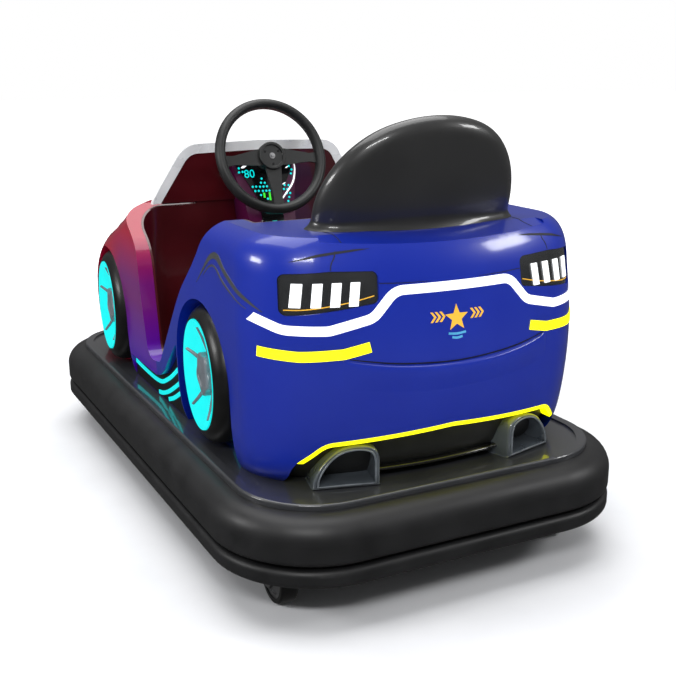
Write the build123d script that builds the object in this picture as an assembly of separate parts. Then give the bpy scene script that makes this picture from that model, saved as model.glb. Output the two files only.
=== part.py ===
from build123d import *
import os
from math import cos, radians, sin, sqrt

# A two-seat battery bumper car of a fairground, in millimetres.
# +Z is up, the front faces -Y, +X is the car's left side, and the origin is on the ground
# under the middle of the bumper.

# Overall size and the bumper
car_length = 1800.0
car_width = 1035.0
plan_radius = 248.0        # the bumper's corners, seen from above
bumper_bottom = 108.0
lower_ring_height = 42.0
ring_groove = 8.0          # the open groove between the two rubber rings
upper_ring_height = 103.0
ring_width = 80.0          # how far the rubber reaches inwards
lower_ring_edge = 14.0     # rounding of the lower ring
upper_ring_shoulder = 54.0  # rounding of the upper ring's top
band_thickness = 7.0       # steel band behind the rubber
groove_depth = 22.0
seat_gap = 0.3             # what is left between two pieces that seat on each other

# The deck
deck_inset = 58.0          # from the bumper's outside to the deck's rim
deck_thickness = 14.0
rim_width = 26.0
rim_height = 5.0           # the rim stands this much over the deck's floor
rim_rounding = 6.0

# The frame under the deck
rail_width = 50.0
rail_height = 40.0
rail_spacing = 520.0

# The body
body_half_width = car_width / 2 - 90.5
body_nose_y = -car_length / 2 + 100
body_tail_y = car_length / 2 - 80
body_wall = 24.0
crest_height = 816.0       # the deck behind the cabin and the tops of the rear fenders
tail_edge_height = 797.0   # the deck slopes down to the tail's edge, behind the fin
tail_edge_y = body_tail_y - 45
tail_slope_length = 85.0
tail_slope_half_width = 288.0
deck_skin = 14.0
body_seam_y = -15.0        # front and rear body meet here, under the door openings
door_sill_radius = 46.0
door_side_radius = 120.0
end_bow = 1012.0           # radius of the nose and the tail seen from above

# The cabin
liner_thickness = 6.0
cabin_front_y = -290.0
cabin_rear_y = 470.0
cabin_half_width = body_half_width - 41
seat_half_width = 328.0    # between the rear wheel houses
cabin_step_y = 166.0       # where the cabin narrows
cabin_corner = 90.0

# The four dummy wheels on the body's sides
side_wheel_radius = 169.0
side_wheel_width = 74.0
side_disc_radius = 133.0
side_wheel_face = body_half_width + 10  # outer face of the disc from the middle of the car
side_wheel_height = 446.0
side_wheel_toe = 5.0
side_hub_radius = 46.0
side_spokes = 5
stub_radius = 24.0
dish_depth = 30.0
arch_gap = 12.0
wheel_house_wall = 8.0
side_wheel_places = {"rear": body_tail_y - 458, "front": body_nose_y + 343}

# The lamps and strips on the tail, seen from behind in x and z
strip_proud = 2.0          # how far the light strips stand out of the body
white_strip_width = 20.0
yellow_strip_width = 22.0
lamp_depth = 14.0
lamp_recess = 4.0
bar_width = 19.0
bar_pitch = 38.3
bar_slant = 7.0            # each bar's foot is this much further out than its top
bar_count = 4
bar_proud = 3.0
first_bar_x = 228.0
bar_bottom = 678.0
bar_top = 727.0

# The grille in the nose
grille_foot = 330.0
grille_top = 470.0
grille_half_foot = 250.0
grille_half_top = 210.0
grille_corner = 30.0
grille_slats = 5
grille_slat = 9.0
grille_depth = 14.0

# The diffuser, its light and the exhaust pods
diffuser_depth = 40.0
diffuser_panel = 9.0
diffuser_light_width = 11.0
pod_width = 150.0
pod_height = 94.0
pod_depth = 150.0
pod_wall = 12.0
pod_recess = 78.0
pod_inner_x = 172.0
pod_face_y = 785.0
pod_turn = 15.0            # the pods follow the tail's curve by this angle

# The sill panels between the side wheels
sill_face = body_half_width - 22  # outer face of the panel from the middle of the car
sill_thickness = 8.0
sill_light_width = 14.0

# The cowl, the display and its console
cowl_base = 770.0
cowl_height = 172.0
cowl_taper = 8.0
cowl_thickness = 14.0
cowl_trim_width = 27.0
cowl_trim_proud = 1.5
display_half_top = 98.0
display_half_foot = 34.0
display_foot_y = -150.0
display_foot_z = 653.0
display_length = 258.0
display_waist = 128.0      # up to here the display is narrow
display_thickness = 4.0
display_border = 10.0
console_waist = 80.0
console_half_foot = 52.0
console_foot_z = 540.0

# The seats and the headrest
bench_front_y = 140.0
bench_top = 400.0
bench_wall = 8.0
cushion_front_y = 124.0
cushion_height = 82.0
cushion_edge = 24.0
back_thickness = 76.0
headrest_half_width = 262.0
headrest_height = 1051.0
headrest_rear_y = body_tail_y - 138
headrest_side_y = headrest_rear_y - 60  # where its ends have come forward
headrest_thickness = 84.0
headrest_shoulder = 0.83   # radius of the shoulders, as a share of the height over the upright ends
headrest_upright = 30.0
headrest_edge = 26.0

# The battery, a closed block under the bench
battery_size = (460.0, 270.0, 96.0)

# The steering
dash_rake = 21.0           # the wheel, the display and the cowl lean by this much
steering_centre_y = -178.0
steering_centre_z = 900.0
rim_radius = 156.0
rim_tube = 14.5            # half the grip's thickness across the wheel
rim_grip = 19.0            # half its thickness along the steering axis
hub_radius = 41.0
hub_height = 22.0
shaft_radius = 10.0
running_gap = 0.3
moving_gap = 6.0           # between a moving piece and what it passes

# The running gear
rear_wheel_radius = 60.0
rear_wheel_width = 41.0
rear_wheel_x = car_width / 2 - 140
rear_wheel_y = car_length / 2 - 205
drive_wheel_radius = 100.0
drive_wheel_width = 62.0
drive_wheel_y = -car_length / 2 + 340
axle_radius = 9.0
fork_plate = 8.0
kingpin_radius = 18.0

# Heights that follow
lower_ring_top = bumper_bottom + lower_ring_height
upper_ring_bottom = lower_ring_top + ring_groove
upper_ring_top = upper_ring_bottom + upper_ring_height
deck_bottom = upper_ring_top + seat_gap
deck_top = deck_bottom + deck_thickness
deck_floor = deck_top - rim_height
body_bottom = deck_floor + seat_gap
rail_top = deck_bottom - seat_gap
rail_bottom = rail_top - rail_height
arch_radius = side_wheel_radius + arch_gap
band_inset = ring_width + seat_gap

# The body's level sections: height, then how far the side, the nose and the tail stand back
# from the widest section, then the nose and tail corners
hull_sections = [
    (body_bottom, 25.0, 55.0, 70.0, 150.0, 176.0),
    (312.0, 11.0, 26.0, 35.0, 160.0, 178.0),
    (400.0, 3.0, 5.0, 11.0, 180.0, 180.0),
    (500.0, 0.0, 0.0, 0.0, 200.0, 182.0),
    (640.0, 0.0, 110.0, 7.0, 250.0, 182.0),
    (740.0, 5.0, 350.0, 23.0, 220.0, 176.0),
    (795.0, 23.0, 470.0, 44.0, 150.0, 165.0),
    (crest_height, 55.0, 500.0, 58.0, 140.0, 150.0),
]


def save(shape, node):
    export_step(shape, f"parts/{node}.step")


def both_sides(shape):
    return Part() + [shape, mirror(shape, about=Plane.YZ)]


def along_x(sketch, x0, x1):
    """Carries a sketch of (y, z) points from x0 to x1."""
    place = Plane((x0, 0, 0), x_dir=(0, 1, 0), z_dir=(1, 0, 0))
    return extrude(place * sketch, x1 - x0, dir=(1, 0, 0))


def along_y(sketch, y0, y1):
    """Carries a sketch of (x, z) points from y0 to y1."""
    place = Plane((0, y1, 0), x_dir=(1, 0, 0), z_dir=(0, -1, 0))
    return extrude(place * sketch, y1 - y0, dir=(0, -1, 0))


def block(x0, x1, y0, y1, z0, z1):
    size = (x1 - x0, y1 - y0, z1 - z0)
    return Pos((x0 + x1) / 2, (y0 + y1) / 2, (z0 + z1) / 2) * Box(*size)


def shaft_x(radius, x0, x1, y, z):
    return Pos((x0 + x1) / 2, y, z) * Rot(0, 90, 0) * Cylinder(radius, x1 - x0)


def rounded_plan(inset):
    """The bumper's outline from above, moved inwards."""
    return RectangleRounded(car_width - 2 * inset, car_length - 2 * inset, plan_radius - inset)


def slab(inset, z0, z1):
    return Pos(0, 0, z0) * extrude(rounded_plan(inset), z1 - z0)


def across(point):
    """The same point on the right side."""
    return (-point[0], point[1])


def body_outline(half, nose, tail, nose_corner, tail_corner):
    """A level section: straight sides, a shallow arc at each end and an arc at each corner."""
    tail_centre = tail - end_bow
    nose_centre = nose + end_bow

    def corner(centre_y, corner_radius, way):
        x = half - corner_radius
        rise = sqrt((end_bow - corner_radius) ** 2 - x ** 2)
        y = centre_y + way * rise
        reach = end_bow - corner_radius
        touch = (x + corner_radius * x / reach, y + way * corner_radius * rise / reach)
        lean = (1 + x / reach, way * rise / reach)
        size = sqrt(lean[0] ** 2 + lean[1] ** 2)
        middle = (x + corner_radius * lean[0] / size, y + corner_radius * lean[1] / size)
        return y, touch, middle

    rear_y, rear_touch, rear_middle = corner(tail_centre, tail_corner, 1)
    front_y, front_touch, front_middle = corner(nose_centre, nose_corner, -1)
    edges = [
        Line((half, front_y), (half, rear_y)),
        ThreePointArc((half, rear_y), rear_middle, rear_touch),
        ThreePointArc(rear_touch, (0, tail), across(rear_touch)),
        ThreePointArc(across(rear_touch), across(rear_middle), (-half, rear_y)),
        Line((-half, rear_y), (-half, front_y)),
        ThreePointArc((-half, front_y), across(front_middle), across(front_touch)),
        ThreePointArc(across(front_touch), (0, nose), front_touch),
        ThreePointArc(front_touch, front_middle, (half, front_y)),
    ]
    return make_face(Curve() + edges)


def hull(inset=0.0):
    """The whole body as one closed form, with every wall moved inwards by the inset."""
    faces = []
    for z, side_back, nose_back, tail_back, nose_corner, tail_corner in hull_sections:
        half = body_half_width - side_back - inset
        nose = body_nose_y + nose_back + inset
        tail = body_tail_y - tail_back - inset
        outline = body_outline(half, nose, tail, nose_corner - inset, tail_corner - inset)
        faces.append(Pos(0, 0, z) * outline)
    return loft(faces)


def make_bumper():
    lower = slab(0, bumper_bottom, lower_ring_top)
    lower = fillet(lower.edges().group_by(Axis.Z)[0], lower_ring_edge)
    lower = fillet(lower.edges().group_by(Axis.Z)[-1], lower_ring_edge)
    save(lower - slab(ring_width, 0, upper_ring_top + 1), "bumper_lower_ring")

    upper = slab(0, upper_ring_bottom, upper_ring_top)
    upper = fillet(upper.edges().group_by(Axis.Z)[0], lower_ring_edge)
    upper = fillet(upper.edges().group_by(Axis.Z)[-1], upper_ring_shoulder)
    save(upper - slab(ring_width, 0, upper_ring_top + 1), "bumper_upper_ring")

    band = slab(band_inset, bumper_bottom + 6, rail_top)
    lip = slab(groove_depth, lower_ring_top + seat_gap, upper_ring_bottom - seat_gap)
    band = band + lip - slab(band_inset + band_thickness, 0, upper_ring_top + 1)
    save(band, "bumper_band")


def make_deck():
    deck = slab(deck_inset, deck_bottom, deck_top)
    deck = fillet(deck.edges().group_by(Axis.Z)[-1], rim_rounding)
    deck -= slab(deck_inset + rim_width, deck_floor, deck_top + 1)
    save(deck, "deck_tray")


def make_frame():
    inner = band_inset + band_thickness + seat_gap
    half_length = car_length / 2 - inner
    half_width = car_width / 2 - inner
    inside = slab(inner, 0, upper_ring_top)
    rail_x = rail_spacing / 2
    rail = block(rail_x - rail_width / 2, rail_x + rail_width / 2,
                 -half_length, half_length, rail_bottom, rail_top)
    rail = rail & inside
    save(both_sides(rail), "frame_rails")
    inner_x = rail_x - rail_width / 2
    outer_x = rail_x + rail_width / 2
    members = Part()
    outriggers = Part()
    for y in (drive_wheel_y, 0.0, rear_wheel_y):
        members += block(-inner_x, inner_x, y - rail_width / 2, y + rail_width / 2, rail_bottom, rail_top)
        arm = block(outer_x, half_width, y - rail_width / 2, y + rail_width / 2, rail_bottom, rail_top)
        outriggers += both_sides(arm & inside)
    housing = Pos(0, drive_wheel_y, (rail_bottom + rail_top) / 2) * Cylinder(48, rail_height)
    bore = Pos(0, drive_wheel_y, (rail_bottom + rail_top) / 2)
    bore = bore * Cylinder(kingpin_radius + running_gap, rail_height + 2)
    save(members + housing - bore, "frame_cross_members")
    save(outriggers, "frame_outriggers")


def door_outline(grow=0.0):
    """The door opening from the side, in (y, z), moved outwards by grow."""
    top = crest_height + 60
    sketch = Polygon((-330, top), (-300, 772), (-135, 664), (-80, 372), (24, 386), (236, 630),
                     (350, 738), (450, top), align=None)
    if grow:
        sketch = offset(sketch, grow, kind=Kind.INTERSECTION)
    sill_corners = sketch.vertices().filter_by(lambda v: v.Y < 500)
    sketch = fillet(sill_corners, door_sill_radius + grow)
    side_corners = sketch.vertices().filter_by(lambda v: 600 < v.Y < 760)
    return fillet(side_corners, door_side_radius)


def cabin_plan(inset=0.0):
    half = cabin_half_width - inset
    seat_half = seat_half_width - inset
    front = cabin_front_y + inset
    rear = cabin_rear_y - inset
    step = cabin_step_y - inset
    sketch = Polygon((-half, front), (half, front), (half, step), (seat_half, step),
                     (seat_half, rear), (-seat_half, rear), (-seat_half, step), (-half, step),
                     align=None)
    corners = sketch.vertices().filter_by(lambda v: v.Y < front + 1)
    return fillet(corners, cabin_corner - inset)


def lamp_outline():
    """A tail lamp from behind, in (x, z)."""
    sketch = Polygon((182, 682), (263, 671), (378, 659), (375, 746), (279, 751), (180, 748), align=None)
    return fillet(sketch.vertices(), 14)


def headlamp_outline():
    sketch = Polygon((170, 590), (300, 600), (413, 668), (413, 706), (300, 652), (170, 622), align=None)
    return fillet(sketch.vertices(), 8)


def diffuser_outline(inset=0.0):
    sketch = Polygon((-352, 260), (-352, 326), (-296, 380), (0, 397), (296, 380), (352, 326),
                     (352, 260), align=None)
    sketch = fillet(sketch.vertices().filter_by(lambda v: v.Y > 300), 52)
    return offset(sketch, -inset) if inset else sketch


def sill_outline(inset=0.0):
    """The black panel between the side wheels, in (y, z)."""
    front = side_wheel_places["front"]
    rear = side_wheel_places["rear"]
    edges = [
        Line((front, body_bottom + 4), (rear, body_bottom + 4)),
        Line((rear, body_bottom + 4), (rear, 470)),
        Line((rear, 470), (168, 470)),
        Line((168, 470), (60, 376)),
        ThreePointArc((60, 376), (14, 348), (-40, 338)),
        Line((-40, 338), (front, 334)),
        Line((front, 334), (front, body_bottom + 4)),
    ]
    sketch = make_face(Curve() + edges)
    for y in (front, rear):
        sketch -= Pos(y, side_wheel_height) * Circle(arch_radius + 6)
    sketch -= Pos(rear, side_wheel_height - 100) * Rectangle(2 * arch_radius + 12, 200)
    sketch -= Pos(front, side_wheel_height - 100) * Rectangle(2 * arch_radius + 12, 200)
    return offset(sketch, -inset) if inset else sketch


def wheel_pocket(y, radius, x0, foot):
    """The space round a side wheel: a half round top over straight sides."""
    sketch = Pos(y, side_wheel_height) * Circle(radius)
    sketch += Pos(y, (side_wheel_height + foot) / 2) * Rectangle(2 * radius, side_wheel_height - foot)
    return along_x(sketch, x0, car_width / 2)


def wheel_pocket_depth():
    lean = side_wheel_radius * sin(radians(side_wheel_toe))
    return side_wheel_face - side_wheel_width - lean - moving_gap


def skin(sketch, outside, inside, y0, y1):
    """The part of a carried outline that lies between two insets of the body's form."""
    return both_sides((along_y(sketch, y0, y1) & outside) - inside)


def lamp_bars():
    bars = Sketch()
    for place in range(bar_count):
        top = first_bar_x + place * bar_pitch
        foot = top + bar_slant
        half = bar_width / 2
        bars += Polygon((foot - half, bar_bottom), (foot + half, bar_bottom),
                        (top + half, bar_top), (top - half, bar_top), align=None)
    return bars


def white_strip():
    """The strip that steps down from the middle of the tail and runs under both lamps."""
    path = FilletPolyline((-1, 706), (146, 706), (196, 652), (290, 630), (376, 632), (416, 652), radius=46)
    return trace(path, white_strip_width)


def yellow_strip():
    path = FilletPolyline((206, 592), (262, 580), (350, 577), (412, 581), radius=60)
    return trace(path, yellow_strip_width)


def make_body():
    outer = hull()
    pocket_x = wheel_pocket_depth()
    above = crest_height + 20
    slope_front = tail_edge_y - tail_slope_length
    drop = (crest_height - tail_edge_height) / tail_slope_length
    beyond = body_tail_y + 20
    slope = Polygon((slope_front, crest_height), (slope_front, above), (beyond, above),
                    (beyond, crest_height - drop * (beyond - slope_front)), align=None)
    outer -= along_x(slope, -tail_slope_half_width, tail_slope_half_width)

    hollow = hull(body_wall) & block(-500, 500, -900, 900, 0, tail_edge_height - deck_skin)
    for y in side_wheel_places.values():
        house = wheel_pocket(y, arch_radius + wheel_house_wall, pocket_x - wheel_house_wall, 0)
        hollow -= both_sides(house)
    hollow -= both_sides(along_x(door_outline(body_wall), seat_half_width - 30, car_width / 2))

    shell = outer - hollow
    shell -= extrude(cabin_plan(-seat_gap), 1000)
    shell -= both_sides(along_x(door_outline(), 200, car_width / 2))
    for y in side_wheel_places.values():
        shell -= both_sides(wheel_pocket(y, arch_radius, pocket_x, 0))
    lamp_seat = hull(lamp_depth)
    tail_lamps = both_sides(along_y(lamp_outline(), 300, 900))
    shell -= tail_lamps - lamp_seat
    head_lamps = both_sides(along_y(headlamp_outline(), -900, -330))
    shell -= head_lamps - lamp_seat
    grille_space = along_y(grille_outline(), -900, -330)
    shell -= grille_space - lamp_seat
    diffuser_space = along_y(diffuser_outline(), 300, 900)
    shell -= diffuser_space - hull(diffuser_depth)

    front_half = block(-600, 600, -1000, body_seam_y - seat_gap / 2, 0, 1000)
    rear_half = block(-600, 600, body_seam_y + seat_gap / 2, 1000, 0, 1000)
    panel_space = along_x(sill_outline(-seat_gap), sill_face - sill_thickness - seat_gap, car_width / 2)
    panel_space = both_sides(panel_space)
    save((shell & front_half) - panel_space, "front_body")
    save((shell & rear_half) - panel_space, "rear_body")


def make_body_lamps():
    """The lamps, strips and grille that lie in or on the body's skin."""
    face = hull(lamp_recess)
    seat = hull(lamp_depth - seat_gap)
    save(skin(offset(lamp_outline(), -seat_gap), face, seat, 300, 900), "tail_lamps")
    save(skin(offset(headlamp_outline(), -seat_gap), face, seat, -900, -330), "headlamps")
    bar_face = hull(lamp_recess - bar_proud)
    bar_seat = hull(lamp_recess - seat_gap)
    save(skin(lamp_bars(), bar_face, bar_seat, 300, 900), "tail_lamp_bars")

    proud = hull(-strip_proud)
    skin_face = hull(-seat_gap)
    save(skin(white_strip(), proud, skin_face, 300, 900), "rear_light_strip")
    save(skin(yellow_strip(), proud, skin_face, 300, 900), "yellow_strips")

    slats = Sketch()
    pitch = (grille_top - grille_foot) / grille_slats
    for place in range(grille_slats):
        z = grille_foot + pitch * (place + 0.5)
        slats += Pos(0, z) * Rectangle(3 * grille_half_foot, grille_slat)
    rim = grille_outline(-seat_gap) - grille_outline(-grille_slat)
    bars = (slats & grille_outline(-seat_gap)) + rim
    grille = (along_y(bars, -900, -330) & face) - seat
    back = (along_y(grille_outline(-seat_gap), -900, -330) & hull(lamp_depth - 3)) - seat
    save(grille + back, "front_grille")


def grille_outline(grow=0.0):
    foot = grille_half_foot
    top = grille_half_top
    sketch = Polygon((-foot, grille_foot), (foot, grille_foot), (top, grille_top), (-top, grille_top),
                     align=None)
    sketch = fillet(sketch.vertices(), grille_corner)
    return offset(sketch, grow) if grow else sketch


def pod_solid():
    """One exhaust pod of the left side: a moulded scoop that is upright on its inner side."""
    outline = Polygon((0, 0), (0, pod_height), (0.6 * pod_width, pod_height),
                      (pod_width, 0.4 * pod_height), (pod_width, 0), align=None)
    top = outline.vertices().filter_by(lambda v: v.Y > pod_height / 3)
    outline = fillet(top, 20)
    hollow = offset(outline, -pod_wall)
    pod = along_y(outline, -pod_depth, 0) - along_y(hollow, -pod_recess, 1)
    return Pos(pod_inner_x, pod_face_y, body_bottom) * Rot(0, 0, -pod_turn) * pod


def make_tail():
    panel_face = hull(diffuser_depth - diffuser_panel)
    panel_seat = hull(diffuser_depth - seat_gap)
    space = along_y(diffuser_outline(seat_gap), 300, 900)
    save((space & panel_face) - panel_seat, "diffuser")

    light = diffuser_outline(seat_gap) - diffuser_outline(diffuser_light_width)
    light -= Pos(0, 300) * Rectangle(800, 60)
    light_space = along_y(light, 300, 900) & hull(2)
    save(light_space - hull(diffuser_depth - diffuser_panel - seat_gap), "diffuser_light")

    pods = both_sides(pod_solid())
    pods -= hull(diffuser_depth - diffuser_panel - seat_gap)
    save(pods, "exhaust_pods")


def make_sills():
    panel = along_x(sill_outline(), sill_face - sill_thickness, sill_face)
    save(both_sides(panel), "sill_panels")
    front = side_wheel_places["front"]
    lights = Part()
    light_face = sill_face + seat_gap
    light_top = light_face + strip_proud
    paths = [
        [(front, 317), (-30, 313), (60, 352), (190, 450)],
        [(-40, 284), (20, 300), (90, 345), (190, 425)],
        [(70, 284), (110, 312), (190, 372)],
    ]
    for points in paths:
        band = trace(FilletPolyline(*points, radius=45), sill_light_width)
        lights += along_x(band, light_face, light_top)
    lights &= along_x(sill_outline(3), light_face - 1, light_top + 1)
    save(both_sides(lights), "sill_lights")


def make_cabin():
    floor_top = body_bottom + liner_thickness
    tub = extrude(Pos(0, 0, body_bottom) * cabin_plan(), crest_height - body_bottom)
    tub -= extrude(Pos(0, 0, floor_top) * cabin_plan(liner_thickness), 1000)
    tub -= both_sides(along_x(door_outline(), 200, car_width / 2))
    tub -= block(-500, 500, -400, 0, cowl_base - seat_gap, 1000)
    save(tub, "cabin_tub")

    inside = seat_half_width - liner_thickness - seat_gap
    rear = cabin_rear_y - liner_thickness - seat_gap
    bench = block(-inside, inside, bench_front_y, bench_front_y + bench_wall,
                  floor_top + seat_gap, bench_top)
    bench += block(-inside, inside, bench_front_y, rear, bench_top - bench_wall, bench_top)
    bench &= extrude(cabin_plan(liner_thickness + seat_gap), 1000)
    save(bench, "seat_bench")

    width, depth, height = battery_size
    middle = (bench_front_y + bench_wall + rear) / 2
    floor = floor_top + seat_gap
    save(block(-width / 2, width / 2, middle - depth / 2, middle + depth / 2, floor, floor + height),
         "battery_box")

    cushion_foot = bench_top + seat_gap
    cushion = block(-inside + 4, inside - 4, cushion_front_y, rear - 2,
                    cushion_foot, cushion_foot + cushion_height)
    save(fillet(cushion.edges(), cushion_edge), "seat_cushion")
    back_foot = cushion_foot + cushion_height + seat_gap
    back = Polygon((rear - back_thickness, back_foot), (rear, back_foot), (rear, 784),
                   (rear - 0.5 * back_thickness, 784), align=None)
    back = along_x(back, -inside + 4, inside - 4)
    save(fillet(back.edges(), 15), "seat_back")

    pedal = Polygon((-262, floor), (-254, floor), (-218, floor + 92), (-226, floor + 96), align=None)
    plate = along_x(pedal, -130, -60)
    foot = block(-130, -60, -262, -214, floor, floor + 5)
    save(plate + foot, "pedal")


def cowl_outline(inset=0.0):
    """The cowl from behind, in (x, z)."""
    top = cowl_base + cowl_height
    sketch = Polygon((-352, cowl_base - 60), (-332, cowl_base + 12), (-238, top - 6), (0, top),
                     (238, top - 6), (332, cowl_base + 12), (352, cowl_base - 60), align=None)
    corners = sketch.vertices().filter_by(lambda v: abs(v.X) > 200 and v.Y > cowl_base + 100)
    sketch = fillet(corners, 74)
    return offset(sketch, -inset, kind=Kind.INTERSECTION) if inset else sketch


def cowl_sheet(outside, inside):
    """The wall that carries on upwards from the front of the cabin and leans inwards."""
    outer = extrude(Pos(0, 0, cowl_base) * cabin_plan(outside), cowl_height + 10, taper=cowl_taper)
    inner = extrude(Pos(0, 0, cowl_base) * cabin_plan(inside), cowl_height + 11, taper=cowl_taper)
    return (outer - inner) & block(-500, 500, -400, -150, cowl_base, 1000)


def make_cowl():
    outside = cowl_trim_proud + seat_gap
    sheet = cowl_sheet(outside, outside + cowl_thickness)
    trim = cowl_sheet(seat_gap, outside + cowl_thickness + cowl_trim_proud)
    plate_outline = cowl_outline(cowl_trim_width + seat_gap)
    save(sheet & along_y(plate_outline, -400, -100), "cowl")
    band = cowl_outline() - cowl_outline(cowl_trim_width)
    save(trim & along_y(band, -400, -100), "cowl_trim")


def dash_plane(reach):
    """A plane square to the steering axis, this far in front of the wheel's middle."""
    lean = radians(dash_rake)
    origin = (0, steering_centre_y - reach * cos(lean), steering_centre_z - reach * sin(lean))
    return Plane(origin, x_dir=(-1, 0, 0), z_dir=(0, cos(lean), sin(lean)))


def display_outline(border=0.0):
    """The display in its own plane: a shield with a narrow foot, with a border all round."""
    foot = display_half_foot + border
    top = display_half_top + border
    sketch = Polygon((-foot, 8 - border), (foot, 8 - border), (foot, display_waist),
                     (top, display_length - 8), (-top, display_length - 8), (-foot, display_waist),
                     align=None)
    return fillet(sketch.vertices(), 12)


def make_dash():
    lean = radians(dash_rake)
    foot_y = display_foot_y
    foot_z = display_foot_z
    top_y = foot_y - display_length * sin(lean)
    top_z = foot_z + display_length * cos(lean)
    waist_z = foot_z + display_waist * cos(lean)
    bulkhead = cabin_front_y + liner_thickness + seat_gap
    cowl_rear = cabin_front_y + cowl_thickness + cowl_trim_proud + 2 * seat_gap + 2
    top_rear = cowl_rear + (top_z - cowl_base) * sin(radians(cowl_taper)) + 2
    side = Polygon((foot_y, foot_z), (top_y, top_z), (top_rear, top_z), (cowl_rear, cowl_base),
                   (cowl_rear, cowl_base - 2), (bulkhead, cowl_base - 2), (bulkhead, console_foot_z),
                   (bulkhead + 40, console_foot_z), align=None)
    half = display_half_top + display_border
    face = Polygon((-half, top_z + 1), (half, top_z + 1), (console_waist, waist_z),
                   (console_half_foot, console_foot_z), (-console_half_foot, console_foot_z),
                   (-console_waist, waist_z), align=None)
    pod = along_x(side, -150, 150) & along_y(face, -400, 0)
    save(pod, "dash_pod")

    middle = Plane((0, foot_y, foot_z), x_dir=(-1, 0, 0), z_dir=(0, cos(lean), sin(lean)))
    screen = extrude(middle.offset(seat_gap) * display_outline(), display_thickness)
    save(screen, "display_screen")

    normal = (0, cos(lean), sin(lean))
    reach = ((steering_centre_y - foot_y) * normal[1] + (steering_centre_z - foot_z) * normal[2])
    column_foot = reach - 2 * seat_gap - display_thickness
    column_head = hub_height / 2 + moving_gap
    length = column_foot - column_head
    tube = extrude(dash_plane(column_foot) * Circle(24), length)
    tube = fillet(tube.edges().group_by(Axis.Y)[-1], 3)
    tube -= extrude(dash_plane(column_foot - 6) * Circle(shaft_radius + running_gap), length)
    save(tube, "steering_column")
    return column_foot - 6 - 2


def rim_ring(grow=0.0):
    """The grip: an oval carried round the Z axis."""
    oval = Pos(rim_radius, 0) * Ellipse(rim_tube + grow, rim_grip + grow)
    return revolve(Plane.XZ * oval, Axis.Z)


def make_steering_wheel(shaft_foot):
    plane = dash_plane(0)
    save(plane * rim_ring(), "steering_rim")
    hub = plane * Cylinder(hub_radius, hub_height)
    hub = fillet(hub.edges(), 3)
    hub -= plane * Pos(0, 0, hub_height / 2) * Cylinder(hub_radius - 8, 8)
    hub += extrude(dash_plane(shaft_foot) * Circle(shaft_radius), shaft_foot)
    spoke = Polygon((0, -26), (hub_radius, -24), (rim_radius - rim_tube - 22, -13),
                    (rim_radius - rim_tube + 3, -17), (rim_radius - rim_tube + 3, 17),
                    (rim_radius - rim_tube - 22, 13), (hub_radius, 24), (0, 26), align=None)
    spokes = Part()
    for turn in (-4.0, 184.0, 270.0):
        blade = plane.offset(-3) * extrude(Rot(0, 0, turn) * spoke, 6)
        spokes += blade
    spokes -= plane * Pos(0, 0, hub_height / 2) * Cylinder(hub_radius - 8, hub_height)
    spokes -= plane * rim_ring(seat_gap)
    save(hub + spokes, "steering_hub")


def headrest_outline(foot):
    """The fin from behind, in (x, z): upright ends, round shoulders and one wide arc between them."""
    half = headrest_half_width
    shoulder = foot + headrest_upright
    drop = headrest_height - shoulder
    side = headrest_shoulder * min(half, drop)
    inner = half - side
    wide = (drop ** 2 + inner ** 2 - side ** 2) / (2 * (drop - side))
    share = wide / (wide - side)
    touch = (inner * share, headrest_height - wide + (wide - drop) * share)
    edges = [
        Line((-half, foot), (half, foot)),
        Line((half, foot), (half, shoulder)),
        RadiusArc((half, shoulder), touch, -side),
        ThreePointArc(touch, (0, headrest_height), (-touch[0], touch[1])),
        RadiusArc((-touch[0], touch[1]), (-half, shoulder), -side),
        Line((-half, shoulder), (-half, foot)),
    ]
    return make_face(Curve() + edges)


def bowed_slab(rear):
    """A tall round bar whose rear edge has the fin's bow, seen from above."""
    bulge = headrest_rear_y - headrest_side_y
    radius = (headrest_half_width ** 2 + bulge ** 2) / (2 * bulge)
    return extrude(Pos(0, rear - radius) * Circle(radius), headrest_height + 100)


def make_headrest():
    foot = crest_height + seat_gap
    band = bowed_slab(headrest_rear_y) - bowed_slab(headrest_rear_y - headrest_thickness)
    shape = along_y(headrest_outline(foot), headrest_side_y - headrest_thickness - 10, 900) & band
    half = headrest_half_width

    def is_rounded(edge):
        middle = edge.center()
        corner_line = edge.geom_type == GeomType.LINE and abs(middle.X) < half - 1
        return middle.Z > foot + 5 and not corner_line

    save(fillet(shape.edges().filter_by(is_rounded), headrest_edge), "headrest_fin")


def side_wheel_place(shape, y):
    """Sets a piece made round the X axis on the left side of the body, with the wheel's toe."""
    return Pos(side_wheel_face, y, side_wheel_height) * Rot(0, 0, -side_wheel_toe) * shape


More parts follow.
